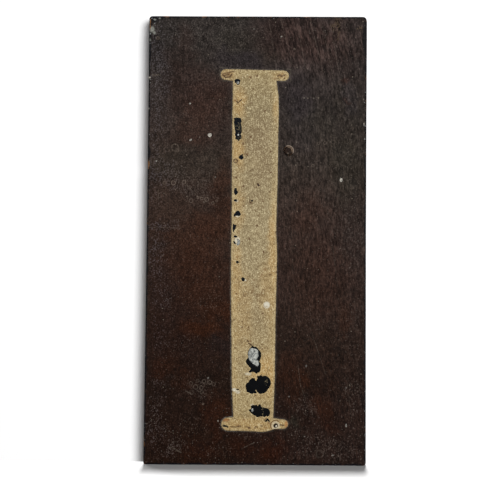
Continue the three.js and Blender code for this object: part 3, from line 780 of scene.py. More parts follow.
class Nodes:
    """Lays and joins the nodes of one material or one node group."""

    def __init__(self, tree):
        self.tree = tree

    def lay(self, kind, **settings):
        node = self.tree.nodes.new(kind)
        count = len(self.tree.nodes)
        node.location = (190 * (count % 14), -240 * (count // 14))
        for name, value in settings.items():
            setattr(node, name, value)
        return node

    def feed(self, socket, value):
        if isinstance(value, bpy.types.NodeSocket):
            self.tree.links.new(value, socket)
        else:
            socket.default_value = value

    def math(self, operation, *values):
        node = self.lay("ShaderNodeMath", operation=operation)
        for socket, value in zip(node.inputs, values):
            self.feed(socket, value)
        return node.outputs[0]

    def times(self, first, second):
        return self.math("MULTIPLY", first, second)

    def plus(self, first, second):
        return self.math("ADD", first, second)

    def minus(self, first, second):
        return self.math("SUBTRACT", first, second)

    def vector(self, operation, *values, output=0):
        node = self.lay("ShaderNodeVectorMath", operation=operation)
        for socket, value in zip(node.inputs, values):
            self.feed(socket, value)
        return node.outputs[output]

    def scaled(self, place, factor):
        node = self.lay("ShaderNodeVectorMath", operation="SCALE")
        self.feed(node.inputs[0], place)
        self.feed(node.inputs["Scale"], factor)
        return node.outputs[0]

    def turn(self, place, degrees):
        """The place turned about the line of sight."""
        node = self.lay("ShaderNodeVectorRotate", rotation_type="Y_AXIS")
        self.feed(node.inputs["Vector"], place)
        from_socket = isinstance(degrees, bpy.types.NodeSocket)
        angle = self.math("RADIANS", degrees) if from_socket else math.radians(degrees)
        self.feed(node.inputs["Angle"], angle)
        return node.outputs[0]

    def span(self, value, low, high, out_low=0.0, out_high=1.0, soft=True):
        """The value carried from one range to another, held at both ends."""
        node = self.lay("ShaderNodeMapRange", interpolation_type="SMOOTHSTEP" if soft else "LINEAR")
        for socket, part in zip(node.inputs, (value, low, high, out_low, out_high)):
            self.feed(socket, part)
        return node.outputs[0]

    def noise(self, place, size, detail=2.0, roughness=0.5, output=0):
        """Cloudy value round a half whose swells are as wide as size in millimetres."""
        node = self.lay("ShaderNodeTexNoise")
        self.feed(node.inputs["Vector"], place)
        scale = self.math("DIVIDE", 1.0, size) if isinstance(size, bpy.types.NodeSocket) else 1 / size
        self.feed(node.inputs["Scale"], scale)
        node.inputs["Detail"].default_value = detail
        node.inputs["Roughness"].default_value = roughness
        return node.outputs[output]

    def mix(self, share, first, second, mode="MIX"):
        node = self.lay("ShaderNodeMix", data_type="RGBA", blend_type=mode)
        for number, value in ((0, share), (6, first), (7, second)):
            self.feed(node.inputs[number], value)
        return node.outputs[2]

    def tint(self, colour, mask, power, hue):
        """The colour drawn towards a hue where the mask is strong."""
        return self.mix(self.times(mask, power), colour, hue)

    def centred(self, value):
        return self.minus(value, 0.5)

    def weighted(self, *parts):
        """The sum of values that are each multiplied by their weight."""
        total = None
        for value, weight in parts:
            share = self.times(value, weight)
            total = share if total is None else self.plus(total, share)
        return total

    def ramp(self, value, stops):
        """A colour for each value, blended between the stops."""
        node = self.lay("ShaderNodeValToRGB")
        elements = node.color_ramp.elements
        while len(elements) < len(stops):
            elements.new(0.5)
        for element, (at, colour) in zip(elements, stops):
            element.position = at
            element.color = colour
        self.feed(node.inputs[0], value)
        return node.outputs[0]

    def apart(self, place):
        node = self.lay("ShaderNodeSeparateXYZ")
        self.feed(node.inputs[0], place)
        return node.outputs

    def field(self, name):
        """A value that was worked out for every corner of the mesh."""
        node = self.lay("ShaderNodeAttribute", attribute_type="GEOMETRY", attribute_name=name)
        return node.outputs["Fac"]

    def group(self, name, **values):
        """An effect shared by several finishes. Its sockets are named with capitals and spaces."""
        node = self.lay("ShaderNodeGroup", node_tree=bpy.data.node_groups[name])
        for label, value in values.items():
            self.feed(node.inputs[label.replace("_", " ").title()], value)
        return node.outputs[0]


# %% [markdown]
# Each finish starts from an empty material with one principled shader and works in millimetres. Near its
# end it raises a relief, a bump far too fine for the mesh, that makes brush marks and cracks catch light.
# %% Helpers for finishes


def new_finish(name):
    """An empty material with a principled shader, and its place in millimetres."""
    material = bpy.data.materials.new(name)
    material.use_nodes = True
    nodes = Nodes(material.node_tree)
    shader = material.node_tree.nodes["Principled BSDF"]
    place = nodes.lay("ShaderNodeTexCoord").outputs["Object"]
    return material, nodes, shader, nodes.scaled(place, 1 / MM)


def raise_relief(nodes, shader, height, strength, distance):
    """Lets the light catch a height that the nodes give, as if it stood up by a distance in metres."""
    bump = nodes.lay("ShaderNodeBump")
    bump.inputs["Strength"].default_value = strength
    bump.inputs["Distance"].default_value = distance
    nodes.feed(bump.inputs["Height"], height)
    nodes.feed(shader.inputs["Normal"], bump.outputs[0])


# %% [markdown]
# Effects that several finishes share are made once as node groups, each with named sockets. This helper
# opens a group, and the first three groups are marks that are placed one by one: a soft patch tints an
# area, a round mark draws a dot or a ring, and a scratch draws a line between two places.
# %% Shared effects: patches, marks and scratches
SOCKETS = {"vector": "NodeSocketVector", "value": "NodeSocketFloat"}


def new_group(name, output, **inputs):
    """A node group whose inputs are given as name=(kind, plain value)."""
    tree = bpy.data.node_groups.new(name, "ShaderNodeTree")
    for label, (kind, plain) in inputs.items():
        title = label.replace("_", " ").title()
        socket = tree.interface.new_socket(name=title, in_out="INPUT", socket_type=SOCKETS[kind])
        socket.default_value = plain
    tree.interface.new_socket(name=output, in_out="OUTPUT", socket_type="NodeSocketFloat")
    nodes = Nodes(tree)
    given = nodes.lay("NodeGroupInput").outputs
    result = nodes.lay("NodeGroupOutput").inputs[0]
    return nodes, given, result


ZERO = (0.0, 0.0, 0.0)
FLAT = (1.0, 0.0, 1.0)

nodes, given, result = new_group(
    "Soft patch", "Mask", place=("vector", ZERO), centre=("vector", ZERO),
    half_size=("vector", (5.0, 1000.0, 5.0)), tilt=("value", 0.0), softness=("value", 0.5),
)
offset = nodes.vector("SUBTRACT", given["Place"], given["Centre"])
offset = nodes.turn(nodes.vector("MULTIPLY", offset, FLAT), given["Tilt"])
reach = nodes.vector("LENGTH", nodes.vector("DIVIDE", offset, given["Half Size"]), output=1)
outer = nodes.plus(1.0, given["Softness"])
inner = nodes.minus(1.0, given["Softness"])
nodes.feed(result, nodes.span(reach, outer, inner))

nodes, given, result = new_group(
    "Round mark", "Mask", place=("vector", ZERO), centre=("vector", ZERO),
    radius=("value", 1.0), half_width=("value", 0.4),
)
offset = nodes.vector("SUBTRACT", given["Place"], given["Centre"])
reach = nodes.vector("LENGTH", nodes.vector("MULTIPLY", offset, FLAT), output=1)
away = nodes.math("ABSOLUTE", nodes.minus(reach, given["Radius"]))
nodes.feed(result, nodes.span(away, given["Half Width"], nodes.times(given["Half Width"], 0.35)))

nodes, given, result = new_group(
    "Scratch", "Mask", place=("vector", ZERO), start=("vector", ZERO), end=("vector", ZERO),
    half_width=("value", 0.3),
)
offset = nodes.vector("MULTIPLY", nodes.vector("SUBTRACT", given["Place"], given["Start"]), FLAT)
whole = nodes.vector("SUBTRACT", given["End"], given["Start"])
walked = nodes.vector("DOT_PRODUCT", offset, whole, output=1)
full = nodes.vector("DOT_PRODUCT", whole, whole, output=1)
share = nodes.math("MINIMUM", nodes.math("MAXIMUM", nodes.math("DIVIDE", walked, full), 0.0), 1.0)
reach = nodes.vector("LENGTH", nodes.vector("SUBTRACT", offset, nodes.scaled(whole, share)), output=1)
nodes.feed(result, nodes.span(reach, given["Half Width"], nodes.times(given["Half Width"], 0.4)))
print("effects set by hand:", [group.name for group in bpy.data.node_groups])

# %% [markdown]
# Paint follows the wood below it. Grain streaks pull a cloudy value out along the grain, and fine threads
# are the lines where such a value crosses its middle, thin and wavy like the cracks in old varnish.
# %% Shared effects: streaks and threads


def pulled_cloud(nodes, given, detail, roughness):
    """A cloudy value pulled out along the grain, by the width, length, slant and seed of a group."""
    turned = nodes.turn(given["Place"], given["Slant"])
    stretch = nodes.lay("ShaderNodeCombineXYZ")
    for socket, label in zip(stretch.inputs, ("Width", "Width", "Length")):
        nodes.feed(socket, given[label])
    pulled = nodes.vector("DIVIDE", turned, stretch.outputs[0])
    shift = nodes.lay("ShaderNodeCombineXYZ")
    nodes.feed(shift.inputs[1], given["Seed"])
    return nodes.noise(nodes.vector("ADD", pulled, shift.outputs[0]), 1.0, detail, roughness)


nodes, given, result = new_group(
    "Grain streaks", "Streak", place=("vector", ZERO), slant=("value", 0.0),
    width=("value", 0.6), length=("value", 8.0), seed=("value", 0.0),
)
nodes.feed(result, pulled_cloud(nodes, given, 2.5, 0.55))

nodes, given, result = new_group(
    "Fine threads", "Thread", place=("vector", ZERO), slant=("value", 0.0), width=("value", 1.5),
    length=("value", 6.0), seed=("value", 0.0), thinness=("value", 0.09),
)
cloud = pulled_cloud(nodes, given, 1.6, 0.6)
away = nodes.math("ABSOLUTE", nodes.centred(cloud))
nodes.feed(result, nodes.span(away, given["Thinness"], 0.0))
print("effects along the grain: streaks and threads")

# %% [markdown]
# The last three are small damage. Fine specks scatter dots at random, one in some of the cells of a plane
# pattern. Hair cracks run along the borders of such cells once these are bent, and only where a second
# cloud allows them. A worn edge is ragged and follows a distance that the finish measures.
# %% Shared effects: specks, cracks and worn edges


def cell_pattern(nodes, place, spacing, **kind):
    """A place split in cells of one spacing: what the cells give, and the distance in millimetres."""
    cells = nodes.lay("ShaderNodeTexVoronoi", **kind)
    nodes.feed(cells.inputs["Vector"], nodes.scaled(place, nodes.math("DIVIDE", 1.0, spacing)))
    cells.inputs["Scale"].default_value = 1.0
    return cells.outputs, nodes.times(cells.outputs["Distance"], spacing)


nodes, given, result = new_group(
    "Fine specks", "Mask", place=("vector", ZERO), spacing=("value", 3.0),
    share=("value", 0.3), radius=("value", 0.3),
)
across, depth, up = nodes.apart(given["Place"])
laid_flat = nodes.lay("ShaderNodeCombineXYZ")
nodes.feed(laid_flat.inputs[0], nodes.plus(across, nodes.times(depth, 0.7)))
nodes.feed(laid_flat.inputs[1], nodes.plus(up, nodes.times(depth, 0.4)))
flat = laid_flat.outputs[0]
cells, reach = cell_pattern(nodes, flat, given["Spacing"], feature="F1", voronoi_dimensions="2D")
luck = nodes.apart(cells["Color"])
chosen = nodes.math("LESS_THAN", luck[0], given["Share"])
own = nodes.times(given["Radius"], nodes.plus(0.4, luck[1]))
dot = nodes.span(reach, own, nodes.times(own, 0.3))
nodes.feed(result, nodes.times(dot, chosen))

nodes, given, result = new_group(
    "Hair cracks", "Mask", place=("vector", ZERO), spacing=("value", 5.0),
    width=("value", 0.15), amount=("value", 0.5),
)
bend = nodes.noise(given["Place"], given["Spacing"], 2.0, 0.6, output=1)
bent = nodes.lay("ShaderNodeVectorMath", operation="MULTIPLY_ADD")
nodes.feed(bent.inputs[0], bend)
nodes.feed(bent.inputs[1], (6.0, 6.0, 6.0))
nodes.feed(bent.inputs[2], given["Place"])
_, reach = cell_pattern(nodes, bent.outputs[0], given["Spacing"], feature="DISTANCE_TO_EDGE")
line = nodes.span(reach, given["Width"], 0.0)
where = nodes.noise(given["Place"], nodes.times(given["Spacing"], 0.8), 1.0)
fewer = nodes.minus(1.0, given["Amount"])
nodes.feed(result, nodes.times(line, nodes.span(where, fewer, nodes.plus(fewer, 0.08))))

nodes, given, result = new_group(
    "Worn edge", "Mask", place=("vector", ZERO), distance=("value", 1.0),
    reach=("value", 1.0), raggedness=("value", 0.6), size=("value", 2.0),
)
jagged = nodes.centred(nodes.noise(given["Place"], given["Size"], 4.0, 0.65))
jagged = nodes.times(nodes.times(jagged, 2.0), given["Raggedness"])
edge = nodes.plus(given["Distance"], jagged)
nodes.feed(result, nodes.span(edge, given["Reach"], nodes.times(given["Reach"], 0.55)))
print(f"{len(bpy.data.node_groups)} shared effects in all")

# %% [markdown]
# Some marks are listed one by one, like a restorer's map: a list of places with their sizes. These helpers
# turn such lists into one mask. The place is warped first, so that no patch keeps a clean oval outline.
# %% Helpers for maps of marks
ALL_THROUGH = 1000  # half size in depth of a patch that reaches through the whole tile


def gathered(nodes, effect, place, marks, **shared):
    """The strongest of many masks of one effect. Each mark is its strength and its values by name."""
    total = 0.0
    for strength, values in marks:
        mask = nodes.group(effect, place=place, **values, **shared)
        total = nodes.math("MAXIMUM", nodes.times(mask, strength), total)
    return total


def patch_mask(nodes, place, patches, softness=0.55):
    """One mask from patches of (across, up, half width, half height, tilt, strength)."""
    marks = []
    for across, up, wide, high, tilt, strength in patches:
        size = (wide, ALL_THROUGH, high)
        marks.append((strength, {"centre": (across, 0, up), "half_size": size, "tilt": tilt}))
    return gathered(nodes, "Soft patch", place, marks, softness=softness)


def mark_mask(nodes, place, marks):
    """One mask from round marks of (across, up, radius, half width, strength)."""
    return gathered(nodes, "Round mark", place, [
        (strength, {"centre": (across, 0, up), "radius": radius, "half_width": half_width})
        for across, up, radius, half_width, strength in marks
    ])


def scratch_mask(nodes, place, scratches):
    """One mask from scratches of (from across, up, to across, up, half width, strength)."""
    return gathered(nodes, "Scratch", place, [
        (strength, {"start": (ax, 0, az), "end": (bx, 0, bz), "half_width": half_width})
        for ax, az, bx, bz, half_width, strength in scratches
    ])


def slope_from(nodes, across, up, spot):
    """How far a place lies to the upper right of a spot, across and up taken together."""
    return nodes.plus(nodes.minus(across, spot.x), nodes.minus(up, spot.z))


def warped(nodes, place, size, amount):
    """The place pushed about by cloudy noise, by up to about half the amount."""
    cloud = nodes.noise(place, size, 3.0, 0.6, output=1)
    push = nodes.vector("SUBTRACT", cloud, (0.5, 0.5, 0.5))
    return nodes.vector("ADD", place, nodes.vector("MULTIPLY", push, (amount, amount, amount)))


# %% [markdown]
# The ground paint is the heart of the tile. It was near black with a red-brown cast, and it has aged
# unevenly: rust red where it is thin and polished, grey where a haze of dust and old varnish lies on it.
# Towards the top that grey is partly a painted sheen of light from above.
# The maps below name those areas, read from the photograph as places and sizes in millimetres.
# %% Maps of the ground paint
# patches of (across, up, half width, half height, tilt in degrees, strength)
MAROON = [
    (30, 290, 31, 17, -12, 0.6), (50, 283, 13, 16, -25, 0.5), (-48, 286, 7, 12, 0, 0.5),
    (-50, 262, 13, 17, 10, 0.6), (-28, 256, 10, 9, 0, 0.45), (62, 262, 3, 3, 0, 0.9),
    (63, 248, 2.2, 2.2, 0, 0.7),
]
RUST = [
    (-34, 244, 17, 15, 25, 0.6), (-40, 229, 16, 10, 30, 0.5), (-22, 183, 7, 24, 0, 0.7),
    (-32, 160, 12, 12, 0, 0.7), (-56, 156, 7, 5, 0, 0.45), (-40, 140, 18, 20, 20, 0.6),
    (-33, 118, 17, 12, 0, 0.55), (-27, 104, 14, 7, 0, 0.75), (-36, 92, 15, 7, 0, 0.85),
    (-61, 67, 8, 9, 0, 0.4), (-49, 58, 8, 8, 0, 0.45), (-26, 38, 9, 13, 0, 0.6), (-25, 20, 3, 8, 0, 0.5),
    (-38, 10, 13, 8, 0, 0.5), (-8, 10, 10, 9, 0, 0.55), (12, 10, 10, 8, 0, 0.8), (24, 61, 9, 16, 12, 0.4),
    (34, 58, 3.5, 4, 0, 0.5), (48, 36, 6, 13, 25, 0.45), (44, 128, 20, 30, 20, 0.25),
    (36, 170, 10, 14, 0, 0.3), (60, 100, 6, 12, 0, 0.35),
]
PURPLE = [
    (-14, 275, 15, 7, 0, 0.8), (28, 247, 9, 16, 0, 0.7), (64, 250, 5, 12, 0, 0.5), (32, 222, 8, 12, 0, 0.35),
    (-66, 275, 7, 12, 0, 0.35), (-20, 82, 8, 8, 0, 0.25),
]
# Hazy patches of dust and old varnish bloom. Those along the top also stand in part for a painted sheen of
# light from above.
HAZE_AND_TOP_SHEEN = [
    (-67, 262, 8, 44, 0, 0.75), (-70, 210, 6, 36, 0, 0.6), (-58, 196, 24, 10, -8, 0.75),
    (-44, 189, 20, 9, -12, 0.7), (-62, 163, 13, 4, 0, 0.8), (-66, 140, 8, 20, 0, 0.6),
    (-64, 112, 9, 9, 20, 0.55), (-66, 88, 7, 12, 0, 0.45), (-50, 84, 11, 6, 20, 0.4),
    (-31, 111, 9, 8, -10, 0.55), (-64, 56, 8, 5, 0, 0.55), (-38, 53, 14, 7, 8, 0.6),
    (-68, 30, 7, 22, 0, 0.6), (-54, 11, 9, 5, 10, 0.75), (-42, 30, 8, 7, 0, 0.4), (-24, 10, 7, 6, 0, 0.4),
    (-30, 293, 44, 9, 0, 0.55), (-24, 284, 10, 12, 0, 0.4), (14, 270, 20, 8, 0, 0.35),
    (52, 296, 12, 7, 0, 0.6), (60, 270, 14, 40, 0, 0.3), (62, 215, 12, 40, 0, 0.4),
    (46, 186, 14, 12, 0, 0.3), (66, 160, 9, 34, 0, 0.55), (38, 205, 18, 5, 0, 0.4),
    (40, 96, 18, 10, -20, 0.25), (66, 92, 9, 28, 0, 0.35), (34, 41, 8, 9, 0, 0.65),
    (68, 48, 8, 14, 0, 0.6), (50, 12, 28, 11, 0, 0.55), (28, 20, 9, 6, 20, 0.4), (-4, 21, 12, 3, -15, 0.3),
]
OLIVE = [
    (-46, 205, 30, 10, 0, 0.5), (-30, 205, 14, 14, 0, 0.45), (62, 205, 14, 24, 0, 0.7),
    (27, 29, 5, 5, 0, 0.8), (62, 240, 12, 20, 0, 0.4), (-12, 288, 14, 8, 0, 0.5), (10, 280, 10, 8, 0, 0.5),
    (44, 230, 14, 16, 0, 0.4),
]
RINGS = [
    # across, up, radius, half width of the line, strength
    (-55.5, 215.6, 2.3, 0.6, 0.5), (-53.9, 213.6, 1.1, 0.5, 0.45), (-56.3, 191.5, 1.4, 0.45, 0.8),
    (-62.2, 191.6, 1.1, 0.4, 0.5), (-49.0, 192.1, 1.2, 0.4, 0.7), (-44.2, 179.4, 1.3, 0.4, 0.6),
    (-33.6, 180.4, 1.3, 0.35, 0.8), (-37.0, 180.9, 0.9, 0.35, 0.7), (-39.7, 181.6, 0.7, 0.35, 0.7),
    (-35.4, 178.4, 0.5, 0.4, 0.6), (-29.4, 178.0, 0.9, 0.35, 0.7), (-26.9, 179.4, 0.6, 0.3, 0.6),
    (-40.4, 53.0, 1.5, 0.45, 0.4), (-36.6, 52.5, 1.3, 0.45, 0.55), (-34.6, 56.9, 1.2, 0.4, 0.45),
    (-30.8, 56.2, 1.3, 0.45, 0.55), (-28.0, 54.8, 1.0, 0.4, 0.4), (-43.6, 55.4, 1.2, 0.45, 0.35),
    (-39.0, 57.2, 1.0, 0.35, 0.4), (-36.2, 49.4, 1.1, 0.4, 0.4), (-43.0, 49.2, 1.4, 0.4, 0.3),
    (-35.3, 41.5, 0.5, 0.5, 0.7), (44.3, 7.9, 2.4, 0.8, 0.25), (25.4, 283.0, 0.5, 0.4, 0.7),
    (42.0, 219.0, 0.8, 0.35, 0.5), (46.5, 219.3, 1.0, 0.35, 0.5), (52.0, 220.0, 1.3, 0.35, 0.35),
    (33.2, 217.6, 0.9, 0.35, 0.3), (38.4, 203.8, 0.8, 0.4, 0.45), (-67.6, 289.8, 0.9, 0.5, 0.7),
]
SCUFFS = [
    # from across and up, to across and up, half width, strength
    (-48.6, 192.1, -39.7, 182.0, 0.35, 0.55), (-47.4, 190.4, -45.2, 187.2, 0.3, 0.6),
    (-8.0, 11.7, -0.6, 15.1, 0.4, 0.6), (29.2, 68.3, 30.9, 54.7, 0.35, 0.45),
    (30.9, 54.7, 34.3, 45.9, 0.35, 0.35), (-66.6, 186.6, -66.2, 175.7, 0.3, 0.5),
    (-71.5, 161.4, -51.1, 160.8, 0.35, 0.45), (29.8, 250.4, 42.7, 250.0, 0.35, 0.25),
    (-64.0, 226.0, -61.0, 227.4, 0.3, 0.6), (-70.8, 264.7, -66.1, 264.7, 0.9, 0.6),
    (-47.0, 50.1, -42.9, 48.1, 0.6, 0.6), (-43.0, 261.1, -35.0, 262.2, 0.35, 0.35),
    (24.0, 160.0, 27.0, 96.0, 0.25, 0.2), (36.5, 96.0, 48.0, 62.0, 0.3, 0.3),
    (52.0, 150.0, 56.0, 120.0, 0.25, 0.35), (46.0, 178.0, 60.0, 150.0, 0.2, 0.25),
    (62.0, 60.0, 66.0, 30.0, 0.25, 0.3), (-58.0, 12.4, -50.0, 8.4, 0.8, 0.5),
    (8.0, 303.0, 14.0, 262.0, 0.3, 0.35), (16.0, 303.0, 24.0, 272.0, 0.3, 0.4),
    (27.0, 300.0, 33.0, 270.0, 0.3, 0.35), (36.0, 302.0, 45.0, 268.0, 0.35, 0.4),
    (44.0, 300.0, 52.0, 262.0, 0.3, 0.4), (50.0, 298.0, 57.0, 262.0, 0.3, 0.35),
]
print(f"{len(RUST)} rust patches, {len(HAZE_AND_TOP_SHEEN)} hazy ones, {len(RINGS)} rings, {len(SCUFFS)} scuffs")

# %% [markdown]
# The recipe of the ground paint runs from broad to fine. First a base that grows warmer and darker down
# the tile, its greyer top partly a painted sheen of light from above, then the mapped areas, then cloudy
# light and dark, then streaks along the grain, and last the small things: specks of dust, rings, scuffs,
# the greasy halo round the figure and the bruised rim.
# %% Ground paint finish
ground, nodes, shader, place = new_finish("aged dark ground paint")
around = warped(nodes, place, 16, 22)
around_fine = warped(nodes, around, 3.5, 5)
across, depth, up = nodes.apart(place)
from_foot = nodes.math("DIVIDE", up, TILE_HEIGHT)
# The base is lighter and greyer towards the top: partly a haze of dust, partly a painted sheen of light from
# above.
left_tone = nodes.ramp(from_foot, [
    (0.03, tone(33, 19, 12)), (0.18, tone(31, 19, 13)), (0.29, tone(36, 22, 16)), (0.41, tone(43, 29, 23)),
    (0.54, tone(52, 38, 31)), (0.67, tone(56, 45, 39)), (0.79, tone(51, 42, 38)), (0.94, tone(49, 44, 41)),
])
right_tone = nodes.ramp(from_foot, [
    (0.03, tone(36, 23, 18)), (0.18, tone(32, 19, 13)), (0.29, tone(40, 28, 22)), (0.41, tone(48, 35, 30)),
    (0.54, tone(51, 39, 34)), (0.67, tone(52, 44, 39)), (0.79, tone(48, 42, 39)), (0.94, tone(47, 39, 37)),
])
colour = nodes.mix(nodes.span(across, -14.0, 14.0), left_tone, right_tone)
far_right = nodes.times(nodes.span(across, 44.0, 66.0), nodes.span(up, 90.0, 190.0, 0.15, 0.5))
colour = nodes.mix(far_right, colour, tone(40, 33, 30))
redder = nodes.ramp(from_foot, [
    (0.0, tone(46, 18, 5)), (0.4, tone(56, 30, 16)), (0.7, tone(58, 35, 25)), (1.0, tone(58, 39, 32)),
])
for patches, hue, power in (
    (OLIVE, tone(43, 39, 32), 0.8), (PURPLE, tone(41, 36, 38), 0.8), (MAROON, tone(50, 35, 30), 0.9),
    (RUST, redder, 0.8),
):
    colour = nodes.tint(colour, patch_mask(nodes, around_fine, patches), power, hue)
cloud = nodes.noise(place, 11, 4.0, 0.6)
colour = nodes.tint(colour, nodes.span(cloud, 0.55, 0.3), 0.4, tone(20, 14, 11))
print("ground paint: base, maps and clouds laid")

# %% [markdown]
# Streaks follow the grain of the wood below. On most of the tile they stand upright, but at the top right
# and the lower right the brush or a rag was drawn slantwise, so the streaks there lean. Thin threads run
# with them, and at the left long curved ones show where a rag swept down.
# %% Streaks and threads in the ground paint
top_right = patch_mask(nodes, around, [(40, 285, 42, 26, 0, 1.0), (58, 262, 14, 30, 0, 0.8)])
low_right = patch_mask(nodes, around, [(46, 60, 26, 46, 12, 1.0)])
right_half = nodes.span(across, 8.0, 24.0)
wavy = warped(nodes, place, 4.0, 1.7)
upright = nodes.group("Grain streaks", place=wavy, width=1.5, length=7.0, slant=2.0, seed=0.0)
leaning = nodes.group("Grain streaks", place=wavy, width=1.7, length=8.5, slant=12.0, seed=4.0)
curved = nodes.group("Grain streaks", place=around, width=1.3, length=9.0, slant=20.0, seed=8.0)
short = nodes.group("Grain streaks", place=place, width=0.65, length=1.9, slant=6.0, seed=14.0)
streak = nodes.span(top_right, 0.0, 1.0, upright, leaning, soft=False)
streak = nodes.span(low_right, 0.0, 1.0, streak, curved, soft=False)
upright = nodes.group(
    "Fine threads", place=wavy, width=2.6, length=11.0, slant=3.0, seed=2.0, thinness=0.05
)
leaning = nodes.group(
    "Fine threads", place=wavy, width=2.9, length=14.0, slant=14.0, seed=6.0, thinness=0.05
)
swept = nodes.group(
    "Fine threads", place=around, width=4.2, length=30.0, slant=24.0, seed=9.0, thinness=0.022
)
thread = nodes.span(top_right, 0.0, 1.0, upright, leaning, soft=False)
mottled = nodes.noise(place, 0.9, 1.5, 0.6)
coarse = nodes.noise(place, 2.6, 2.0, 0.6)
streak_power = nodes.plus(0.35, nodes.weighted((right_half, 0.55), (top_right, 0.5)))
short_power = nodes.plus(0.45, nodes.weighted((right_half, 0.4), (top_right, 0.15)))
mottle_power = nodes.minus(1.05, nodes.weighted((right_half, 0.6), (top_right, 0.2)))
thread_power = nodes.plus(0.03, nodes.weighted((right_half, 0.12), (top_right, 0.1)))
swept_height = nodes.span(up, 120.0, 220.0, 0.03, 0.15)
sweep_power = nodes.times(nodes.span(across, 0.0, -30.0), swept_height)
fine = nodes.weighted(
    (nodes.centred(streak), streak_power),
    (nodes.centred(short), short_power),
    (nodes.centred(mottled), mottle_power),
    (nodes.centred(coarse), 0.4),
    (thread, thread_power),
    (swept, sweep_power),
)
light = nodes.math("POWER", nodes.span(fine, -0.48, 0.52, soft=False), 1.9)
light = nodes.plus(0.16, nodes.times(light, 3.0))
strength = nodes.lay("ShaderNodeCombineXYZ")
for socket in strength.inputs:
    nodes.feed(socket, light)
colour = nodes.mix(1.0, colour, strength.outputs[0], "MULTIPLY")
print("ground paint: streaks and threads laid")

# %% [markdown]
# Haze on an old dark coat isn't a veil but a crowd of tiny pale specks, thick in some areas and thin in
# others. The haze map therefore lowers a threshold, so more of the mottling turns pale there. Dust, grit,
# rings and scuffs follow.
# %% Haze, specks, rings and scuffs
haze_and_sheen = patch_mask(nodes, around_fine, HAZE_AND_TOP_SHEEN)
frost_value = nodes.weighted((mottled, 0.6), (short, 0.25), (coarse, 0.15), (haze_and_sheen, 0.1))
frost = nodes.span(frost_value, 0.57, 0.72)
frost_tone = nodes.mix(nodes.span(across, -72.0, -40.0), tone(90, 86, 90), tone(86, 79, 73))
frost_tone = nodes.mix(nodes.span(up, 150.0, 20.0, 0.0, 0.6), frost_tone, tone(82, 68, 61))
frost_power = nodes.plus(nodes.span(up, 70.0, 8.0, 0.5, 0.85), nodes.times(haze_and_sheen, 0.12))
colour = nodes.tint(colour, frost, frost_power, frost_tone)
dust = nodes.group("Fine specks", place=place, spacing=2.6, share=0.22, radius=0.36)
dust_power = nodes.plus(nodes.span(up, 60.0, 14.0, 0.32, 0.8), nodes.times(haze_and_sheen, 0.25))
colour = nodes.tint(colour, dust, dust_power, tone(112, 102, 94))
grit = nodes.group("Fine specks", place=place, spacing=7.5, share=0.16, radius=0.42)
colour = nodes.tint(colour, grit, 0.5, tone(150, 138, 122))
jittered = warped(nodes, place, 1.3, 1.1)
rings_mask = mark_mask(nodes, jittered, RINGS)
ring_breaks = nodes.span(nodes.noise(place, 0.8, 2.0), 0.36, 0.6, 0.4, 1.0)
colour = nodes.tint(colour, nodes.times(rings_mask, ring_breaks), 0.7, tone(124, 110, 98))
broken = nodes.span(nodes.noise(place, 1.1, 2.0), 0.36, 0.58)
scuff_mask = nodes.times(scratch_mask(nodes, jittered, SCUFFS), broken)
colour = nodes.tint(colour, scuff_mask, 0.55, tone(124, 112, 100))
print("ground paint: haze, specks, rings and scuffs laid")

# %% [markdown]
# Round the figure runs a narrow band that is greyer than the rest, left by a cleaner's rag that stopped
# short of the cream paint. Inside the figure, under the flakes, the coat never saw the sun: there it is
# still blue-black, with crumbs of cream in it. Faint square ends of the older figure show beside the serifs.
# %% Halo and sheltered paint
from_figure = nodes.field("from_figure")
halo_reach = nodes.weighted(
    (from_figure, 1.0), (nodes.centred(coarse), 4.0), (nodes.centred(mottled), 2.0)
)
halo = nodes.span(halo_reach, 1.5, 0.1)
colour = nodes.tint(colour, halo, 0.4, tone(64, 57, 51))
brush_line = nodes.span(nodes.math("ABSOLUTE", nodes.minus(from_figure, 0.4)), 0.4, 0.1)
line_breaks = nodes.span(nodes.weighted((mottled, 0.6), (coarse, 0.4)), 0.42, 0.6)
brush_line = nodes.times(brush_line, line_breaks)
low_left = nodes.times(nodes.span(across, -10.0, -14.0), nodes.span(up, 150.0, 80.0))
line_power = nodes.plus(0.35, nodes.times(low_left, 0.5))
colour = nodes.tint(colour, brush_line, line_power, tone(118, 114, 106))
GHOST = [
    # from across and up, to across and up, half width, strength
    (-24.6, 270.0, -20.0, 270.3, 0.4, 0.5), (-25.2, 262.0, -25.2, 269.8, 0.35, 0.5),
    (-24.8, 260.9, -20.8, 260.9, 0.4, 0.45), (18.0, 269.4, 23.0, 269.0, 0.4, 0.5),
    (23.0, 261.0, 23.0, 268.8, 0.35, 0.5), (18.0, 260.8, 22.6, 260.8, 0.4, 0.4),
    (-16.4, 77.0, -16.6, 66.0, 0.35, 0.5),
]
ghost = nodes.times(scratch_mask(nodes, jittered, GHOST), nodes.times(broken, 0.6))
colour = nodes.mix(ghost, colour, tone(120, 112, 98))
sheltered = nodes.span(from_figure, -0.05, -0.45)
sheltered_tone = nodes.mix(nodes.span(up, 80.0, 150.0), tone(6, 7, 9), tone(13, 16, 21))
colour = nodes.mix(sheltered, colour, sheltered_tone)
upper = nail_places["upper_nail"]
lower = nail_places["lower_nail"]
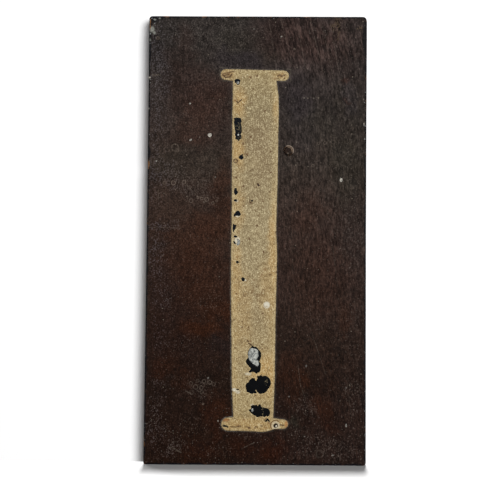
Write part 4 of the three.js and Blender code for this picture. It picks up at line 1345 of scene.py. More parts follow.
# Round each nail seat a ring is painted as light and shade: a painted highlight at its upper right, painted
# shade at its lower left.
lit_and_shaded_seat_rings = [(spot.x, spot.z, NAIL_RADIUS + 0.15, 0.75, 0.9) for spot in (upper, lower)]
seats = mark_mask(nodes, place, lit_and_shaded_seat_rings)
slope = slope_from(nodes, across, up, upper)
seat_highlight_and_shade = nodes.mix(nodes.span(slope, 0.4, 2.6), tone(17, 13, 12), tone(150, 134, 120))
colour = nodes.mix(seats, colour, seat_highlight_and_shade)
crumbs = nodes.times(sheltered, nodes.span(nodes.noise(place, 0.8, 2.0, 0.6), 0.56, 0.66))
crumb_places = patch_mask(nodes, place, [
    (-13.6, 230.0, 2.6, 3.0, 0, 0.9), (-11.6, 222.0, 1.0, 5.0, 0, 0.7), (-15.0, 218.0, 1.0, 4.0, 0, 0.6),
    (-14.0, 151.0, 2.4, 4.0, 0, 0.5), (7.4, 56.8, 1.0, 2.2, 0, 0.9), (5.2, 36.4, 0.7, 3.0, 0, 0.6),
])
colour = nodes.tint(colour, crumbs, crumb_places, tone(150, 138, 106))
print("ground paint: halo and sheltered paint laid")

# %% [markdown]
# The rim took the knocks. It is bruised to blue-black, and where it was rubbed hardest the brown of the
# wood comes through. The distance from the rim was worked out for every corner of the mesh, so that this
# wear follows the real edge of the tile.
# %% Worn rim of the ground paint
from_rim = nodes.field("from_rim")
on_face = nodes.span(depth, GROUND_FACE + 1.8, GROUND_FACE + 0.7)
rim_mask = nodes.group("Worn edge", place=place, distance=from_rim, reach=1.5, raggedness=1.3, size=2.6)
rim_power = nodes.plus(0.3, nodes.times(on_face, 0.58))
colour = nodes.tint(colour, rim_mask, rim_power, tone(16, 17, 20))
scuffed_rim = nodes.group(
    "Worn edge", place=place, distance=from_rim, reach=0.85, raggedness=1.5, size=1.2
)
rubbed_rim = nodes.times(scuffed_rim, nodes.span(nodes.noise(place, 7, 3.0, 0.7), 0.56, 0.66))
colour = nodes.tint(colour, rubbed_rim, 0.75, tone(104, 72, 48))
arris_gap = nodes.minus(BACK, depth)
back_arris = nodes.group("Worn edge", place=place, distance=arris_gap, reach=1.1, raggedness=1.6, size=5.0)
colour = nodes.tint(colour, back_arris, 0.7, tone(96, 68, 46))
chalk = nodes.group("Fine specks", place=place, spacing=2.2, share=0.2, radius=0.4)
chalk = nodes.times(chalk, nodes.span(from_rim, 2.2, 1.0))
colour = nodes.tint(colour, chalk, 0.5, tone(168, 168, 164))
print("ground paint: rim worn")

# %% [markdown]
# The corners carry marks that no rule would put there, so these are listed one by one again: brown stains at
# the top right, black blots along both edges, one of them painted shade in a chip of the arris, and small
# white bits and chips near the top left corner.
# %% Stains, blots and chips of the ground paint
CORNER_STAINS = [
    (53.5, 299.0, 3.2, 5.0, 10, 0.7), (55.3, 291.5, 1.8, 3.0, 0, 0.5), (70.3, 297.0, 2.2, 2.6, 0, 0.5),
]
corner_mask = patch_mask(nodes, around_fine, CORNER_STAINS)
corner_breaks = nodes.span(nodes.weighted((mottled, 0.7), (coarse, 0.3)), 0.46, 0.6)
corner_mask = nodes.times(corner_mask, corner_breaks)
colour = nodes.tint(colour, corner_mask, 0.7, tone(108, 90, 68))
# Most blots are black paint. The one on the left edge, 212 mm up, is painted shade inside a chip of the
# arris.
BLOTS_AND_CHIP_SHADE = [
    # across, up, half width, half height, tilt, strength
    (-70.4, 302.6, 3.4, 2.2, 0, 0.95), (-72.8, 294.0, 1.2, 5.0, 0, 0.9), (-73.0, 281.0, 1.0, 7.0, 0, 0.8),
    (-66.0, 303.6, 3.0, 1.2, 0, 0.8), (73.0, 290.0, 1.3, 12.0, 0, 0.7), (-73.6, 212.0, 1.7, 4.2, 0, 1.0),
    (74.2, 205.0, 1.1, 6.0, 0, 0.8), (74.4, 160.0, 0.9, 9.0, 0, 0.7),
]
colour = nodes.mix(patch_mask(nodes, jittered, BLOTS_AND_CHIP_SHADE), colour, tone(13, 15, 18))
WHITE_BITS = [
    # across, up, radius, half width, strength
    (-71.6, 303.2, 0, 0.5, 0.8), (-72.2, 296.4, 0, 0.6, 0.8), (-71.0, 295.0, 0, 0.5, 0.8),
    (-72.6, 292.6, 0, 0.45, 0.7), (-69.8, 299.6, 0, 0.4, 0.7), (-72.8, 286.0, 0, 0.4, 0.6),
    (73.6, 254.0, 0, 0.4, 0.7), (73.3, 247.0, 0, 0.4, 0.7), (73.6, 222.0, 0, 0.45, 0.8),
    (73.8, 231.0, 0, 0.4, 0.7), (-73.6, 262.6, 0, 0.5, 0.7),
]
bits_mask = nodes.times(mark_mask(nodes, jittered, WHITE_BITS), on_face)
colour = nodes.mix(bits_mask, colour, tone(176, 178, 176))
CHIPS = [
    (-71.4, 295.6, 1.5, 2.0, 0, 0.9), (-70.0, 293.4, 1.0, 1.0, 0, 0.8), (-69.6, 302.4, 0.9, 0.6, 0, 0.8),
    (-66.4, 303.2, 0.8, 0.5, 0, 0.7), (-72.6, 288.8, 0.6, 0.9, 0, 0.7), (-72.6, 205.6, 0.7, 0.9, 0, 0.7),
]
chip_mask = nodes.times(patch_mask(nodes, jittered, CHIPS), nodes.span(coarse, 0.36, 0.5))
colour = nodes.tint(colour, chip_mask, on_face, tone(138, 138, 130))
nodes.feed(shader.inputs["Base Color"], colour)
print(f"ground paint: {len(BLOTS_AND_CHIP_SHADE)} blots, {len(WHITE_BITS)} white bits and {len(CHIPS)} chips laid")

# %% [markdown]
# Sheen varies over the face in broad cloudy areas, and the light streaks are a little shinier than the rest.
# Every streak and speck also stands up or dips a few hundredths of a millimetre under the light.
# %% Sheen and relief of the ground paint
haze_again = nodes.span(nodes.noise(place, 9, 3.0), 0.35, 0.65, 0.5, 0.68)
nodes.feed(shader.inputs["Roughness"], nodes.plus(haze_again, nodes.times(fine, -0.12)))
shader.inputs["Specular IOR Level"].default_value = 0.03
relief = nodes.plus(fine, nodes.times(dust, 0.5))
relief = nodes.plus(relief, nodes.times(rings_mask, 0.5))
raise_relief(nodes, shader, relief, 0.5, 0.00012)
coat_piece.data.materials.append(ground)
print("ground paint:", len(ground.node_tree.nodes), "nodes")

# %% [markdown]
# Cream oil paint yellows and gathers grime. Along its edges and round the flakes it is a warm ochre, and
# down the middle, where hands and rags rubbed it, it is greyer. Under a lens it is mottled all over, with
# short curled hair cracks that hold brown dirt.
# %% Cream paint finish
cream, nodes, shader, place = new_finish("aged cream paint")
across, depth, up = nodes.apart(place)
from_foot = nodes.math("DIVIDE", up, TILE_HEIGHT)
from_outline = nodes.field("from_outline")
from_flake = nodes.field("from_flake")
centre_tone = nodes.ramp(from_foot, [
    (0.08, tone(164, 142, 98)), (0.15, tone(166, 145, 102)), (0.33, tone(154, 135, 99)),
    (0.45, tone(154, 137, 102)), (0.57, tone(154, 138, 104)), (0.685, tone(135, 118, 86)),
    (0.79, tone(135, 120, 88)), (0.87, tone(152, 134, 96)),
])
edge_tone = nodes.ramp(from_foot, [
    (0.08, tone(164, 140, 92)), (0.2, tone(172, 148, 101)), (0.4, tone(168, 146, 104)),
    (0.57, tone(165, 146, 107)), (0.72, tone(156, 138, 100)), (0.87, tone(160, 141, 100)),
])
cloud = nodes.noise(place, 7, 4.0, 0.6)
edge_reach = nodes.plus(from_outline, nodes.times(nodes.centred(cloud), 8.0))
colour = nodes.mix(nodes.span(edge_reach, 7.0, 1.0), centre_tone, edge_tone)
GREYER = [(2, 222, 9, 16, 0, 0.8), (4, 204, 8, 12, 0, 0.7), (8, 228, 8, 10, 0, 0.5), (-2, 186, 7, 6, 0, 0.3)]
around = warped(nodes, place, 9, 9)
grey_mask = patch_mask(nodes, around, GREYER)
colour = nodes.tint(colour, grey_mask, 0.6, tone(136, 117, 88))
paler = nodes.span(nodes.noise(place, 13, 3.0, 0.6), 0.5, 0.72)
colour = nodes.tint(colour, paler, 0.4, tone(182, 164, 124))
OCHRE = [
    (-12.0, 246, 4.5, 11, 0, 0.7), (-12.5, 214, 4.0, 13, 0, 0.8), (13.5, 242, 3.0, 8, 0, 0.6),
    (-12.0, 176, 4.0, 16, 0, 0.5), (-20, 265, 6, 4, 0, 0.5), (17, 265, 6, 4, 0, 0.4),
    (0, 27, 26, 4.5, 0, 0.6), (9, 120, 6, 20, 0, 0.4), (-9, 104, 6, 26, 0, 0.35), (7, 62, 9, 14, 0, 1.0),
    (12.8, 146, 3.6, 34, 0, 0.75), (-12.5, 128, 3.4, 26, 0, 0.55),
]
colour = nodes.tint(colour, patch_mask(nodes, around, OCHRE), 0.75, tone(190, 152, 92))
right_more = nodes.span(across, -6.0, 8.0, 0.35, 0.8)
pale_rim = nodes.times(nodes.span(from_outline, 1.9, 0.7), right_more)
colour = nodes.tint(colour, pale_rim, 0.6, tone(196, 178, 136))
mottled = nodes.noise(place, 0.8, 1.5, 0.6)
pocks = nodes.noise(place, 2.4, 2.0, 0.6)
brushed = nodes.group("Grain streaks", place=place, width=0.7, length=2.6, slant=2.0, seed=27.0)
wavy = warped(nodes, place, 2.5, 1.6)
worms = nodes.group("Fine threads", place=wavy, width=1.5, length=2.2, slant=0.0, seed=5.0, thinness=0.06)
fine = nodes.plus(nodes.times(mottled, 0.95), nodes.times(brushed, 0.65))
fine = nodes.plus(fine, nodes.times(pocks, 0.35))
fine = nodes.plus(nodes.minus(fine, 0.975), nodes.times(worms, 0.06))
colour = nodes.tint(colour, nodes.span(fine, 0.03, -0.24, soft=False), 0.75, tone(96, 74, 46))
colour = nodes.tint(colour, nodes.span(fine, 0.03, 0.27, soft=False), 0.75, tone(222, 206, 164))
long_cracks = nodes.group("Hair cracks", place=wavy, spacing=8.0, width=0.42, amount=0.5)
colour = nodes.tint(colour, long_cracks, 0.4, tone(106, 86, 58))
hairs = nodes.group("Grain streaks", place=place, width=0.7, length=22.0, slant=0.0, seed=3.0)
colour = nodes.mix(nodes.span(hairs, 0.56, 0.74, 0.0, 0.28), colour, tone(132, 112, 78))
print("cream paint: tones and mottling laid")

# %% [markdown]
# Dirt follows rules. It sits in curled cracks and pin holes, and it stains the ends of the serifs, where
# water once ran behind the paint. The stains have their own places in a list.
# %% Cracks and stains in the cream paint
curls = nodes.group("Hair cracks", place=place, spacing=2.6, width=0.2, amount=0.46)
curl_areas = nodes.span(nodes.noise(place, 17, 2.0), 0.44, 0.6, 0.25, 1.0)
colour = nodes.tint(colour, nodes.times(curls, curl_areas), 0.85, tone(88, 62, 36))
pin_holes = nodes.group("Fine specks", place=wavy, spacing=4.6, share=0.24, radius=0.78)
colour = nodes.tint(colour, pin_holes, 0.85, tone(84, 52, 24))
pale_bits = nodes.group("Fine specks", place=wavy, spacing=3.7, share=0.25, radius=0.46)
colour = nodes.tint(colour, pale_bits, 0.6, tone(228, 216, 178))
STAINS = [
    # across, up, half width, half height, tilt, strength
    (-20.5, 265.2, 3.8, 1.9, 4, 0.35), (16.6, 265.0, 2.8, 1.5, 0, 0.35), (-19.6, 30.2, 2.8, 1.2, 0, 0.45),
    (21.6, 28.0, 0.9, 2.2, 0, 0.4), (-11.0, 27.0, 1.4, 0.6, 0, 0.5), (7.8, 25.6, 1.2, 0.6, 0, 0.5),
    (9.4, 28.4, 1.0, 0.5, 0, 0.4), (-14.8, 247.8, 0.9, 0.7, 0, 0.8), (-7.2, 31.0, 0.7, 0.7, 0, 0.7),
    (-6.2, 211.2, 0.9, 0.7, 0, 0.6), (-4.6, 263.6, 0.9, 0.6, 0, 0.85), (12.2, 262.8, 1.6, 0.6, 0, 0.5),
    (-2.5, 255.6, 0.5, 0.5, 0, 0.8), (1.6, 190.4, 0.75, 0.9, 0, 1.0), (-3.3, 84.4, 0.8, 0.6, 0, 0.85),
    (-12.6, 141.2, 0.6, 0.8, 0, 0.6), (6.0, 133.0, 0.9, 1.1, 20, 0.4), (3.6, 128.6, 2.0, 0.5, 50, 0.45),
    (-1.6, 126.0, 1.4, 0.5, -30, 0.4),
    (-13.4, 82.0, 0.6, 0.5, 0, 0.6), (-14.0, 66.0, 0.5, 0.5, 0, 0.5), (8.7, 266.5, 0.4, 0.4, 0, 0.6),
]
jittered = warped(nodes, place, 1.1, 1.0)
worn_spots = patch_mask(nodes, around, [(-1.5, 116.0, 7.0, 8.0, 20, 1.0), (2.0, 176.0, 6.0, 8.0, 0, 0.6)])
worn_spots = nodes.times(worn_spots, nodes.span(pocks, 0.5, 0.36, 0.0, 0.6))
colour = nodes.mix(worn_spots, colour, tone(112, 84, 52))
stain_mask = patch_mask(nodes, jittered, STAINS, softness=0.45)
colour = nodes.tint(colour, stain_mask, 0.8, tone(112, 66, 28))
print(f"cream paint: cracks, pin holes and {len(STAINS)} stains laid")

# %% [markdown]
# Brown lines wander over the serifs like the tracks of a dirty brush, with a few darker strokes and dots,
# and faint scratches cross the stem. Each is a run of points joined by scratches. They are broken marks
# and spell nothing.
# %% Lines and dots on the cream paint
BROADER = 1.4  # the lines are drawn this much wider than they were measured
SCRIBBLES = [
    # points of a brush line, its half width and strength
    ([(-23.3, 265.0), (-21.2, 263.3), (-18.5, 263.6), (-17.1, 265.3)], 0.6, 0.85),
    ([(-22.6, 266.0), (-19.9, 266.3), (-16.5, 267.4)], 0.5, 0.7),
    ([(-21.9, 264.6), (-19.2, 265.3)], 0.5, 0.8),
    ([(14.1, 264.5), (15.5, 265.5), (16.8, 264.2), (18.9, 265.2)], 0.5, 0.65),
    ([(13.4, 262.5), (14.8, 262.8)], 0.4, 0.5),
    ([(-14.0, 247.4), (-12.9, 246.0), (-10.2, 248.4)], 0.4, 0.9),
    ([(-6.6, 211.1), (-5.6, 210.0)], 0.45, 0.7), ([(1.0, 191.1), (1.7, 190.1)], 0.65, 1.0),
    ([(-21.4, 30.4), (-19.7, 31.0), (-17.7, 30.8)], 0.5, 0.7),
    ([(-16.3, 26.2), (-12.9, 25.9), (-9.5, 26.6)], 0.5, 0.6),
    ([(-6.1, 26.2), (-4.1, 25.8), (-2.9, 26.1)], 0.4, 0.6), ([(0.6, 26.3), (1.8, 26.0)], 0.45, 0.6),
    ([(4.2, 26.6), (5.0, 26.2)], 0.5, 0.5), ([(16.9, 27.6), (19.7, 27.3)], 0.5, 0.8),
    ([(6.4, 30.4), (8.1, 31.9), (9.5, 30.1), (6.4, 30.4)], 0.4, 0.8),
    ([(-15.0, 32.0), (-12.2, 31.3)], 0.4, 0.4), ([(-4.3, 180.2), (-4.2, 178.6), (-3.2, 178.2)], 0.4, 1.0),
    ([(-3.0, 180.3), (-2.0, 180.0)], 0.4, 1.0), ([(-4.4, 82.8), (-2.0, 81.2)], 0.45, 1.0),
    ([(-5.4, 84.4), (-4.6, 84.0)], 0.5, 0.9),
]
scribbled = []
for points, half_width, power in SCRIBBLES:
    scribbled += [(*a, *b, half_width * BROADER, power) for a, b in zip(points, points[1:])]
colour = nodes.mix(scratch_mask(nodes, jittered, scribbled), colour, tone(66, 42, 20))
ORANGE = [(-20.2, 30.9, 2.6, 1.0, 0, 0.5), (21.4, 28.0, 0.9, 2.4, 0, 0.55)]
colour = nodes.mix(patch_mask(nodes, jittered, ORANGE), colour, tone(180, 120, 64))
INK = [
    (-21.7, 26.9, -20.4, 26.1, 0.5, 0.9), (-20.4, 26.1, -18.3, 26.5, 0.5, 0.9),
    (-21.4, 27.5, -19.4, 27.0, 0.4, 0.8),
]
colour = nodes.mix(scratch_mask(nodes, jittered, INK), colour, tone(44, 42, 32))
FAINT = [
    (-14.7, 197.1, -10.6, 200.8, 0.35, 0.5), (-10.6, 200.8, -5.2, 206.0, 0.35, 0.45),
    (-5.5, 199.2, -1.8, 201.2, 0.35, 0.5), (-1.8, 201.2, -2.4, 197.2, 0.35, 0.5),
    (1.3, 201.9, 1.0, 195.1, 0.35, 0.55), (1.0, 195.1, 7.1, 195.2, 0.35, 0.5),
    (4.3, 202.6, 5.0, 198.6, 0.35, 0.55), (5.0, 198.6, 6.4, 198.6, 0.35, 0.5),
    (6.6, 202.0, 6.3, 197.0, 0.3, 0.4),
]
colour = nodes.mix(scratch_mask(nodes, jittered, FAINT), colour, tone(104, 84, 56))
small_ring = mark_mask(nodes, jittered, [(-14.1, 206.6, 1.25, 0.65, 0.9), (-6.7, 116.3, 1.7, 0.5, 0.35)])
colour = nodes.mix(small_ring, colour, tone(78, 56, 36))
PIN_DOTS = [
    (1.5, 190.4, 0, 0.95, 1.0), (-4.2, 263.6, 0, 0.6, 0.8), (-2.6, 255.7, 0, 0.6, 0.7),
    (-3.3, 180.0, 0, 0.5, 0.9),
]
colour = nodes.mix(mark_mask(nodes, jittered, PIN_DOTS), colour, tone(26, 18, 14))
print(f"cream paint: {len(scribbled)} pieces of brown line laid")

# %% [markdown]
# Last on the cream come dabs of clean white, the pale broken lip of every flake, and grime that gathered
# along the outline. Lip and grime use distances that were worked out for every corner of the mesh.
# %% Dabs, lips and grime on the cream paint
WHITE_DABS = [
    (7.6, 108.9, 2.1, 2.2, 0, 0.95), (-13.8, 51.2, 2.2, 1.0, -10, 0.9), (-11.6, 49.8, 1.6, 1.2, 0, 0.7),
    (-13.2, 179.6, 1.3, 0.9, 0, 0.9), (-12.4, 169.4, 1.5, 0.9, 0, 0.9), (-12.6, 152.2, 1.9, 2.9, 0, 0.8),
    (8.0, 30.7, 0.7, 0.5, 0, 0.8), (-7.0, 125.8, 0.7, 0.7, 0, 0.8), (-4.6, 62.0, 2.2, 0.9, 0, 0.5),
    (-1.8, 41.0, 1.2, 0.6, 0, 0.5),
]
dabs = patch_mask(nodes, jittered, WHITE_DABS, softness=0.3)
colour = nodes.tint(colour, dabs, nodes.span(pocks, 0.26, 0.42), tone(216, 210, 190))
flake_lip = nodes.span(from_flake, 0.55, 0.1)
colour = nodes.tint(colour, flake_lip, 0.45, tone(190, 170, 126))
grime_edge = nodes.group(
    "Worn edge", place=place, distance=from_outline, reach=0.7, raggedness=0.7, size=1.8
)
colour = nodes.tint(colour, grime_edge, 0.38, tone(112, 92, 62))
print(f"cream paint: {len(WHITE_DABS)} dabs, the lips of the flakes and the grime laid")

# %% [markdown]
# Over the lower nail the paint has cracked in a ring, with a darker arc at the upper left where the crack
# gapes. The ring is drawn round the nail's own place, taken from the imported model.
# %% Ring crack over the lower nail, sheen and relief
ring_place = warped(nodes, place, 2.0, 0.9)
pale_ring = mark_mask(nodes, ring_place, [(lower.x, lower.z, 2.2, 0.9, 0.5)])
colour = nodes.mix(pale_ring, colour, tone(212, 202, 178))
dark_ring = mark_mask(nodes, ring_place, [(lower.x, lower.z, 3.5, 0.6, 0.9)])
above = nodes.minus(up, lower.z)
beside_nail = nodes.minus(across, lower.x)
upper_left = nodes.span(nodes.minus(above, beside_nail), -1.2, 1.4)
colour = nodes.tint(colour, dark_ring, upper_left, tone(104, 76, 46))
nodes.feed(shader.inputs["Base Color"], colour)
nodes.feed(shader.inputs["Roughness"], nodes.span(fine, -0.3, 0.3, 0.78, 0.6))
shader.inputs["Specular IOR Level"].default_value = 0.2
relief = nodes.plus(fine, nodes.times(hairs, 0.5))
relief = nodes.minus(relief, nodes.times(curls, 0.35))
relief = nodes.minus(relief, nodes.times(pin_holes, 0.4))
raise_relief(nodes, shader, relief, 0.55, 0.00015)
cream_piece.data.materials.append(cream)
print("cream paint:", len(cream.node_tree.nodes), "nodes")

# %% [markdown]
# The older figure shows only at the bottom of the deepest flakes. Its white has gone grey, with small
# dark pits where the ground coat still clings. The same white, a little cleaner, makes the paint drops.
# %% Older white paint finish


def white_finish(name, light_tone, dark_tone, pit_share, clean_field=None):
    """Old white paint with crazing and pits. The field of the mesh says how clean each part of it is."""
    material, nodes, shader, place = new_finish(name)
    cloud = nodes.noise(place, 2.2, 4.0, 0.6)
    colour = nodes.mix(nodes.span(cloud, 0.36, 0.66), dark_tone, light_tone)
    if clean_field:
        dirty = nodes.minus(1.0, nodes.field(clean_field))
        colour = nodes.mix(dirty, colour, tone(86, 74, 66))
    crazing = nodes.group("Hair cracks", place=place, spacing=2.2, width=0.5, amount=0.6)
    colour = nodes.tint(colour, crazing, 0.75, tone(74, 76, 74))
    pits = nodes.group("Fine specks", place=place, spacing=1.6, share=pit_share, radius=0.5)
    colour = nodes.tint(colour, pits, 0.85, tone(40, 42, 44))
    nodes.feed(shader.inputs["Base Color"], colour)
    nodes.feed(shader.inputs["Roughness"], nodes.span(cloud, 0.3, 0.7, 0.85, 0.62))
    shader.inputs["Specular IOR Level"].default_value = 0.2
    height = nodes.minus(cloud, nodes.times(pits, 0.6))
    raise_relief(nodes, shader, height, 0.4, 0.0001)
    return material


old_white = white_finish("older white paint", tone(206, 206, 197), tone(150, 153, 149), 0.3)
old_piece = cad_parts["old_numeral"]
old_piece.data.materials.clear()
old_piece.data.materials.append(old_white)
drop_white = white_finish("dried white drops", tone(220, 214, 200), tone(192, 186, 174), 0.06, "cleanness")
drops_piece.data.materials.append(drop_white)
print("white paint:", old_white.name, "and", drop_white.name)

# %% [markdown]
# The nails are iron under old paint. The upper head is brown where rust has come through. A bright crescent
# at its upper right is a painted highlight, and a dark one at its lower left is a painted shadow of the rim.
# %% Nail finish


def nail_finish(name, spot, skin_tone, crescent, slivers=()):
    """Old paint and rust on a nail head, with a painted highlight and shadow on its rim. The crescent is the
    strength of the highlight, the slivers are cream paint.
    """
    material, nodes, shader, place = new_finish(name)
    rust = nodes.noise(place, 1.3, 4.0, 0.65)
    colour = nodes.ramp(rust, [(0.3, tone(24, 16, 12)), (0.5, skin_tone), (0.72, tone(62, 46, 37))])
    middle = (spot.x, 0, spot.z)
    jittered = warped(nodes, place, 1.2, 0.8)
    rim = nodes.group("Round mark", place=jittered, centre=middle, radius=2.65, half_width=0.75)
    across, _, up = nodes.apart(place)
    slope = slope_from(nodes, across, up, spot)
    # A painted highlight on the upper right of the rim and a painted shadow on its lower left.
    bright = nodes.times(rim, nodes.span(slope, 0.8, 3.0))
    painted_rim_shadow = nodes.times(rim, nodes.span(slope, 1.6, -1.0))
    colour = nodes.tint(colour, painted_rim_shadow, 0.9, tone(14, 11, 10))
    colour = nodes.tint(colour, bright, crescent, tone(150, 128, 106))
    x, z = spot.x, spot.z
    nicks = [
        (x - 1.0, z + 1.8, x + 0.2, z - 1.2, 0.6, 0.9),
        (x + 1.0, z + 1.6, x + 0.9, z - 0.6, 0.55, 0.9),
    ]
    colour = nodes.mix(scratch_mask(nodes, jittered, nicks), colour, tone(30, 21, 17))
    pale_spot = mark_mask(nodes, jittered, [(x - 0.3, z - 1.7, 0, 0.9, 0.7)])
    colour = nodes.mix(pale_spot, colour, tone(98, 88, 78))
    if slivers:
        colour = nodes.mix(patch_mask(nodes, place, slivers, softness=0.35), colour, tone(214, 206, 186))
    nodes.feed(shader.inputs["Base Color"], colour)
    nodes.feed(shader.inputs["Roughness"], nodes.span(rust, 0.3, 0.7, 0.5, 0.82))
    nodes.feed(shader.inputs["Metallic"], nodes.span(rust, 0.62, 0.8, 0.0, 0.2))
    shader.inputs["Specular IOR Level"].default_value = 0.05
    raise_relief(nodes, shader, rust, 0.6, 0.0001)
    return material


upper_finish = nail_finish("painted nail head", upper, tone(41, 30, 24), 0.5)
nail_pieces["upper_nail"].data.materials.append(upper_finish)
left_over = [(lower.x + 0.45, lower.z - 0.4, 0.5, 0.7, -15, 1.0)]
# The lower head gets no painted highlight, but keeps the painted shadow at the lower left of its rim.
lower_finish = nail_finish("broken plug over the nail", lower, tone(17, 12, 11), 0.0, left_over)
nail_pieces["lower_nail"].data.materials.append(lower_finish)
print("nail heads painted and rusted")

# %% [markdown]
# Bare timber shows at the rubbed corners and over the whole back. Growth rings cut lengthwise make long
# pointed bands, with fine pores between them. The back has darkened with age, is dirtiest near its edges,
# and carries smears of the ground paint that ran round from the front.
# %% Timber finish
HALF_BOARD, BOARD_TOP = 75.2, 304.8
timber, nodes, shader, place = new_finish("aged timber")
across, depth, up = nodes.apart(place)
bend = nodes.noise(nodes.vector("DIVIDE", place, (44.0, 44.0, 330.0)), 1.0, 2.5, 0.5)
bands = nodes.plus(nodes.times(across, 0.1), nodes.times(bend, 8.0))
bands = nodes.plus(bands, nodes.times(depth, 0.35))
rings_value = nodes.math("FRACT", bands)
band_shape = nodes.times(nodes.span(rings_value, 0.0, 0.78), nodes.span(rings_value, 1.0, 0.86))
band_shape = nodes.times(band_shape, nodes.span(nodes.noise(place, 30, 2.0), 0.3, 0.7, 0.35, 1.0))
colour = nodes.mix(band_shape, tone(140, 102, 68), tone(114, 78, 49))
fibre = nodes.group("Grain streaks", place=place, width=0.35, length=14.0, slant=0.0, seed=11.0)
colour = nodes.mix(nodes.span(fibre, 0.4, 0.7, 0.0, 0.5), colour, tone(92, 60, 36))
pores = nodes.group("Grain streaks", place=place, width=0.28, length=5.0, slant=0.0, seed=17.0)
colour = nodes.mix(nodes.span(pores, 0.6, 0.7, 0.0, 0.6), colour, tone(58, 36, 22))
stained = nodes.noise(place, 42, 4.0, 0.6)
colour = nodes.mix(nodes.span(stained, 0.42, 0.7, 0.0, 0.6), colour, tone(84, 62, 46))
on_back = nodes.span(depth, BACK - 1.6, BACK - 0.2)
edge_gap = nodes.minus(HALF_BOARD, nodes.math("ABSOLUTE", across))
edge_gap = nodes.math("MINIMUM", edge_gap, nodes.minus(BOARD_TOP, up))
edge_gap = nodes.math("MINIMUM", edge_gap, up)
grimy = nodes.group("Worn edge", place=place, distance=edge_gap, reach=15.0, raggedness=14.0, size=20.0)
colour = nodes.tint(colour, nodes.times(grimy, on_back), 0.62, tone(66, 48, 36))
smears = nodes.group("Worn edge", place=place, distance=edge_gap, reach=3.4, raggedness=4.5, size=9.0)
smears = nodes.times(smears, on_back)
colour = nodes.tint(colour, smears, 0.92, tone(34, 24, 20))
saw = nodes.group("Grain streaks", place=place, width=2.0, length=0.55, slant=4.0, seed=23.0)
saw = nodes.times(nodes.span(saw, 0.5, 0.72), nodes.times(on_back, 0.3))
colour = nodes.mix(saw, colour, tone(70, 48, 32))
fresh = nodes.minus(1.0, on_back)
fresh_tone = nodes.mix(nodes.noise(place, 2.4, 3.0, 0.6), tone(104, 64, 36), tone(184, 138, 94))
colour = nodes.tint(colour, fresh, 0.7, fresh_tone)
nodes.feed(shader.inputs["Base Color"], colour)
nodes.feed(shader.inputs["Roughness"], nodes.span(fibre, 0.3, 0.7, 0.62, 0.85))
shader.inputs["Specular IOR Level"].default_value = 0.25
relief = nodes.minus(fibre, nodes.span(pores, 0.58, 0.72, 0.0, 0.8))
relief = nodes.plus(relief, nodes.times(smears, 0.4))
raise_relief(nodes, shader, relief, 0.6, 0.00022)
board_piece.data.materials.append(timber)
print("finishes:", [material.name for material in bpy.data.materials])

# %% [markdown]
# The stage. The tile stands on a pale floor with a small pale wall close behind it, which catches the soft
# shadow at the left. Both are made of meshes with simple materials. To the camera they are bright paper,
# while to other rays they are dimmer, so that they don't wash out the dark paint.
# %% Floor and wall


def flat_mesh(name, corners):
    mesh = bpy.data.meshes.new(name)
    mesh.from_pydata(corners, [], [tuple(range(len(corners)))])
    piece = bpy.data.objects.new(name, mesh)
    bpy.context.scene.collection.objects.link(piece)
    return piece


def ray_of_sight(nodes):
    """1 for a ray that starts at the camera, also by way of gloss or glass, and 0 for others."""
    path = nodes.lay("ShaderNodeLightPath").outputs
    straight = nodes.math("MAXIMUM", path["Is Camera Ray"], path["Is Glossy Ray"])
    return nodes.math("MAXIMUM", straight, path["Is Transmission Ray"])


def paper(name, shade, glow, bounce, one_sided):
    """A sheet that the camera sees as bright paper. Other rays meet a darker one, or nothing."""
    material = bpy.data.materials.new(name)
    material.use_nodes = True
    tree = material.node_tree
    tree.nodes.clear()
    nodes = Nodes(tree)
    seen = nodes.lay("ShaderNodeBsdfDiffuse")
    seen.inputs["Color"].default_value = (shade, shade, shade, 1)
    glowing = nodes.lay("ShaderNodeEmission")
    glowing.inputs["Strength"].default_value = glow
    bright = nodes.lay("ShaderNodeAddShader")
    nodes.feed(bright.inputs[0], seen.outputs[0])
    nodes.feed(bright.inputs[1], glowing.outputs[0])
    other = nodes.lay("ShaderNodeBsdfTransparent") if one_sided else nodes.lay("ShaderNodeBsdfDiffuse")
    if not one_sided:
        other.inputs["Color"].default_value = (bounce, bounce, bounce, 1)
    looked_at = ray_of_sight(nodes)
    if one_sided:
        front = nodes.minus(1.0, nodes.lay("ShaderNodeNewGeometry").outputs["Backfacing"])
        looked_at = nodes.times(looked_at, front)
    choose = nodes.lay("ShaderNodeMixShader")
    nodes.feed(choose.inputs[0], looked_at)
    nodes.feed(choose.inputs[1], other.outputs[0])
    nodes.feed(choose.inputs[2], bright.outputs[0])
    output = nodes.lay("ShaderNodeOutputMaterial")
    nodes.feed(output.inputs["Surface"], choose.outputs[0])
    return material


floor = flat_mesh("floor", [(-3, -3, 0), (3, -3, 0), (3, 3, 0), (-3, 3, 0)])
floor.data.materials.append(paper("floor paper", 0.46, 0.015, 0.08, False))
WALL_DEPTH = BACK * MM + 0.0004
wall = flat_mesh("wall", [
    (-0.2, WALL_DEPTH, 0.0), (0.2, WALL_DEPTH, 0.0), (0.2, WALL_DEPTH, 0.42), (-0.2, WALL_DEPTH, 0.42),
])
wall.data.materials.append(paper("wall paper", 1.12, 0.03, 0.0, True))
print("floor and wall stand")

# %% [markdown]
# Light. One large soft lamp stands a little right of the viewer and above, which gives the even light on
# the face and the shadow that leans left and down. A lamp overhead lights the floor but not the face, and
# a third one behind lights the back, so that the tile can be looked at from every side.
# %% Lamps
MIDDLE = (0, 0, 0.15)


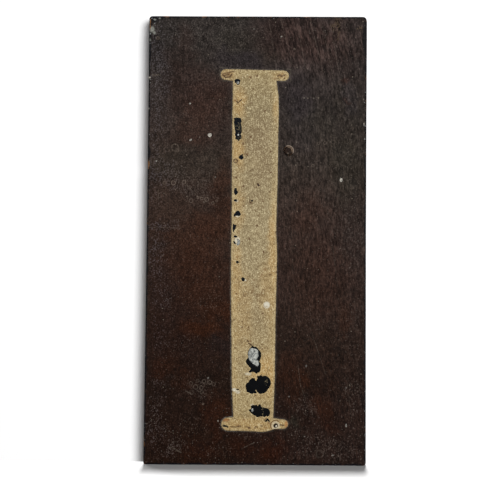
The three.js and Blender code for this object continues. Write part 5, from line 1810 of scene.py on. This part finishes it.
def lamp(name, place, target, width, length, power):
    """An oval soft lamp that looks at its target. The power is what it gives in all."""
    data = bpy.data.lights.new(name, "AREA")
    data.shape = "ELLIPSE"
    data.size = width
    data.size_y = length
    data.energy = power
    made = bpy.data.objects.new(name, data)
    bpy.context.scene.collection.objects.link(made)
    made.location = place
    aim = Vector(target) - Vector(place)
    made.rotation_euler = aim.to_track_quat("-Z", "Y").to_euler()
    return made


def around_tile(azimuth, elevation, reach):
    """A place round the tile. Azimuth 0 is in front of the face and 90 at its right."""
    a, e = math.radians(azimuth), math.radians(elevation)
    aim = Vector((math.sin(a) * math.cos(e), -math.cos(a) * math.cos(e), math.sin(e)))
    return Vector(MIDDLE) + aim * reach


lamp("key_lamp", around_tile(21.5, 15.5, 2.2), MIDDLE, 1.32, 1.32, 47)
lamp("overhead_lamp", (0.12, 2.35, 20.0), (0, 0, 0), 0.5, 2.7, 8300)
lamp("back_lamp", around_tile(205, 35, 2.2), MIDDLE, 0.9, 0.9, 32)
print("lamps:", [light.name for light in bpy.data.lights])

# %% [markdown]
# The world is a plain pale studio. It is white where it is seen or mirrored, and dim as a source of light,
# so that the lamps keep their soft shadows.
# %% World
world = bpy.data.worlds.new("pale studio")
bpy.context.scene.world = world
world.use_nodes = True
nodes = Nodes(world.node_tree)
backdrop = world.node_tree.nodes["Background"]
backdrop.inputs["Color"].default_value = (1, 1, 1, 1)
nodes.feed(backdrop.inputs["Strength"], nodes.span(ray_of_sight(nodes), 0.0, 1.0, 0.1, 1.0, soft=False))
print("world:", world.name)

# %% [markdown]
# The camera looks straight at the face, with a long lens so that the sides don't flare. It is turned by a
# third of a degree, because the tile in the photograph leans by that much.
# %% Camera
LENS = 100
SENSOR = 36
FRAME_WIDTH = 0.3396
CAMERA_ACROSS, CAMERA_UP = -0.00396, 0.1462
LEAN = -0.367
camera_data = bpy.data.cameras.new("camera")
camera_data.lens = LENS
camera_data.sensor_width = SENSOR
camera = bpy.data.objects.new("camera", camera_data)
bpy.context.scene.collection.objects.link(camera)
distance = FRAME_WIDTH * LENS / SENSOR
camera.location = (CAMERA_ACROSS, CREAM_FACE * MM - distance, CAMERA_UP)
camera.rotation_euler = (math.radians(90), math.radians(LEAN), 0)
bpy.context.scene.camera = camera
bpy.context.scene.view_settings.view_transform = "Standard"
print(f"camera {distance:.3f} m in front of the face")
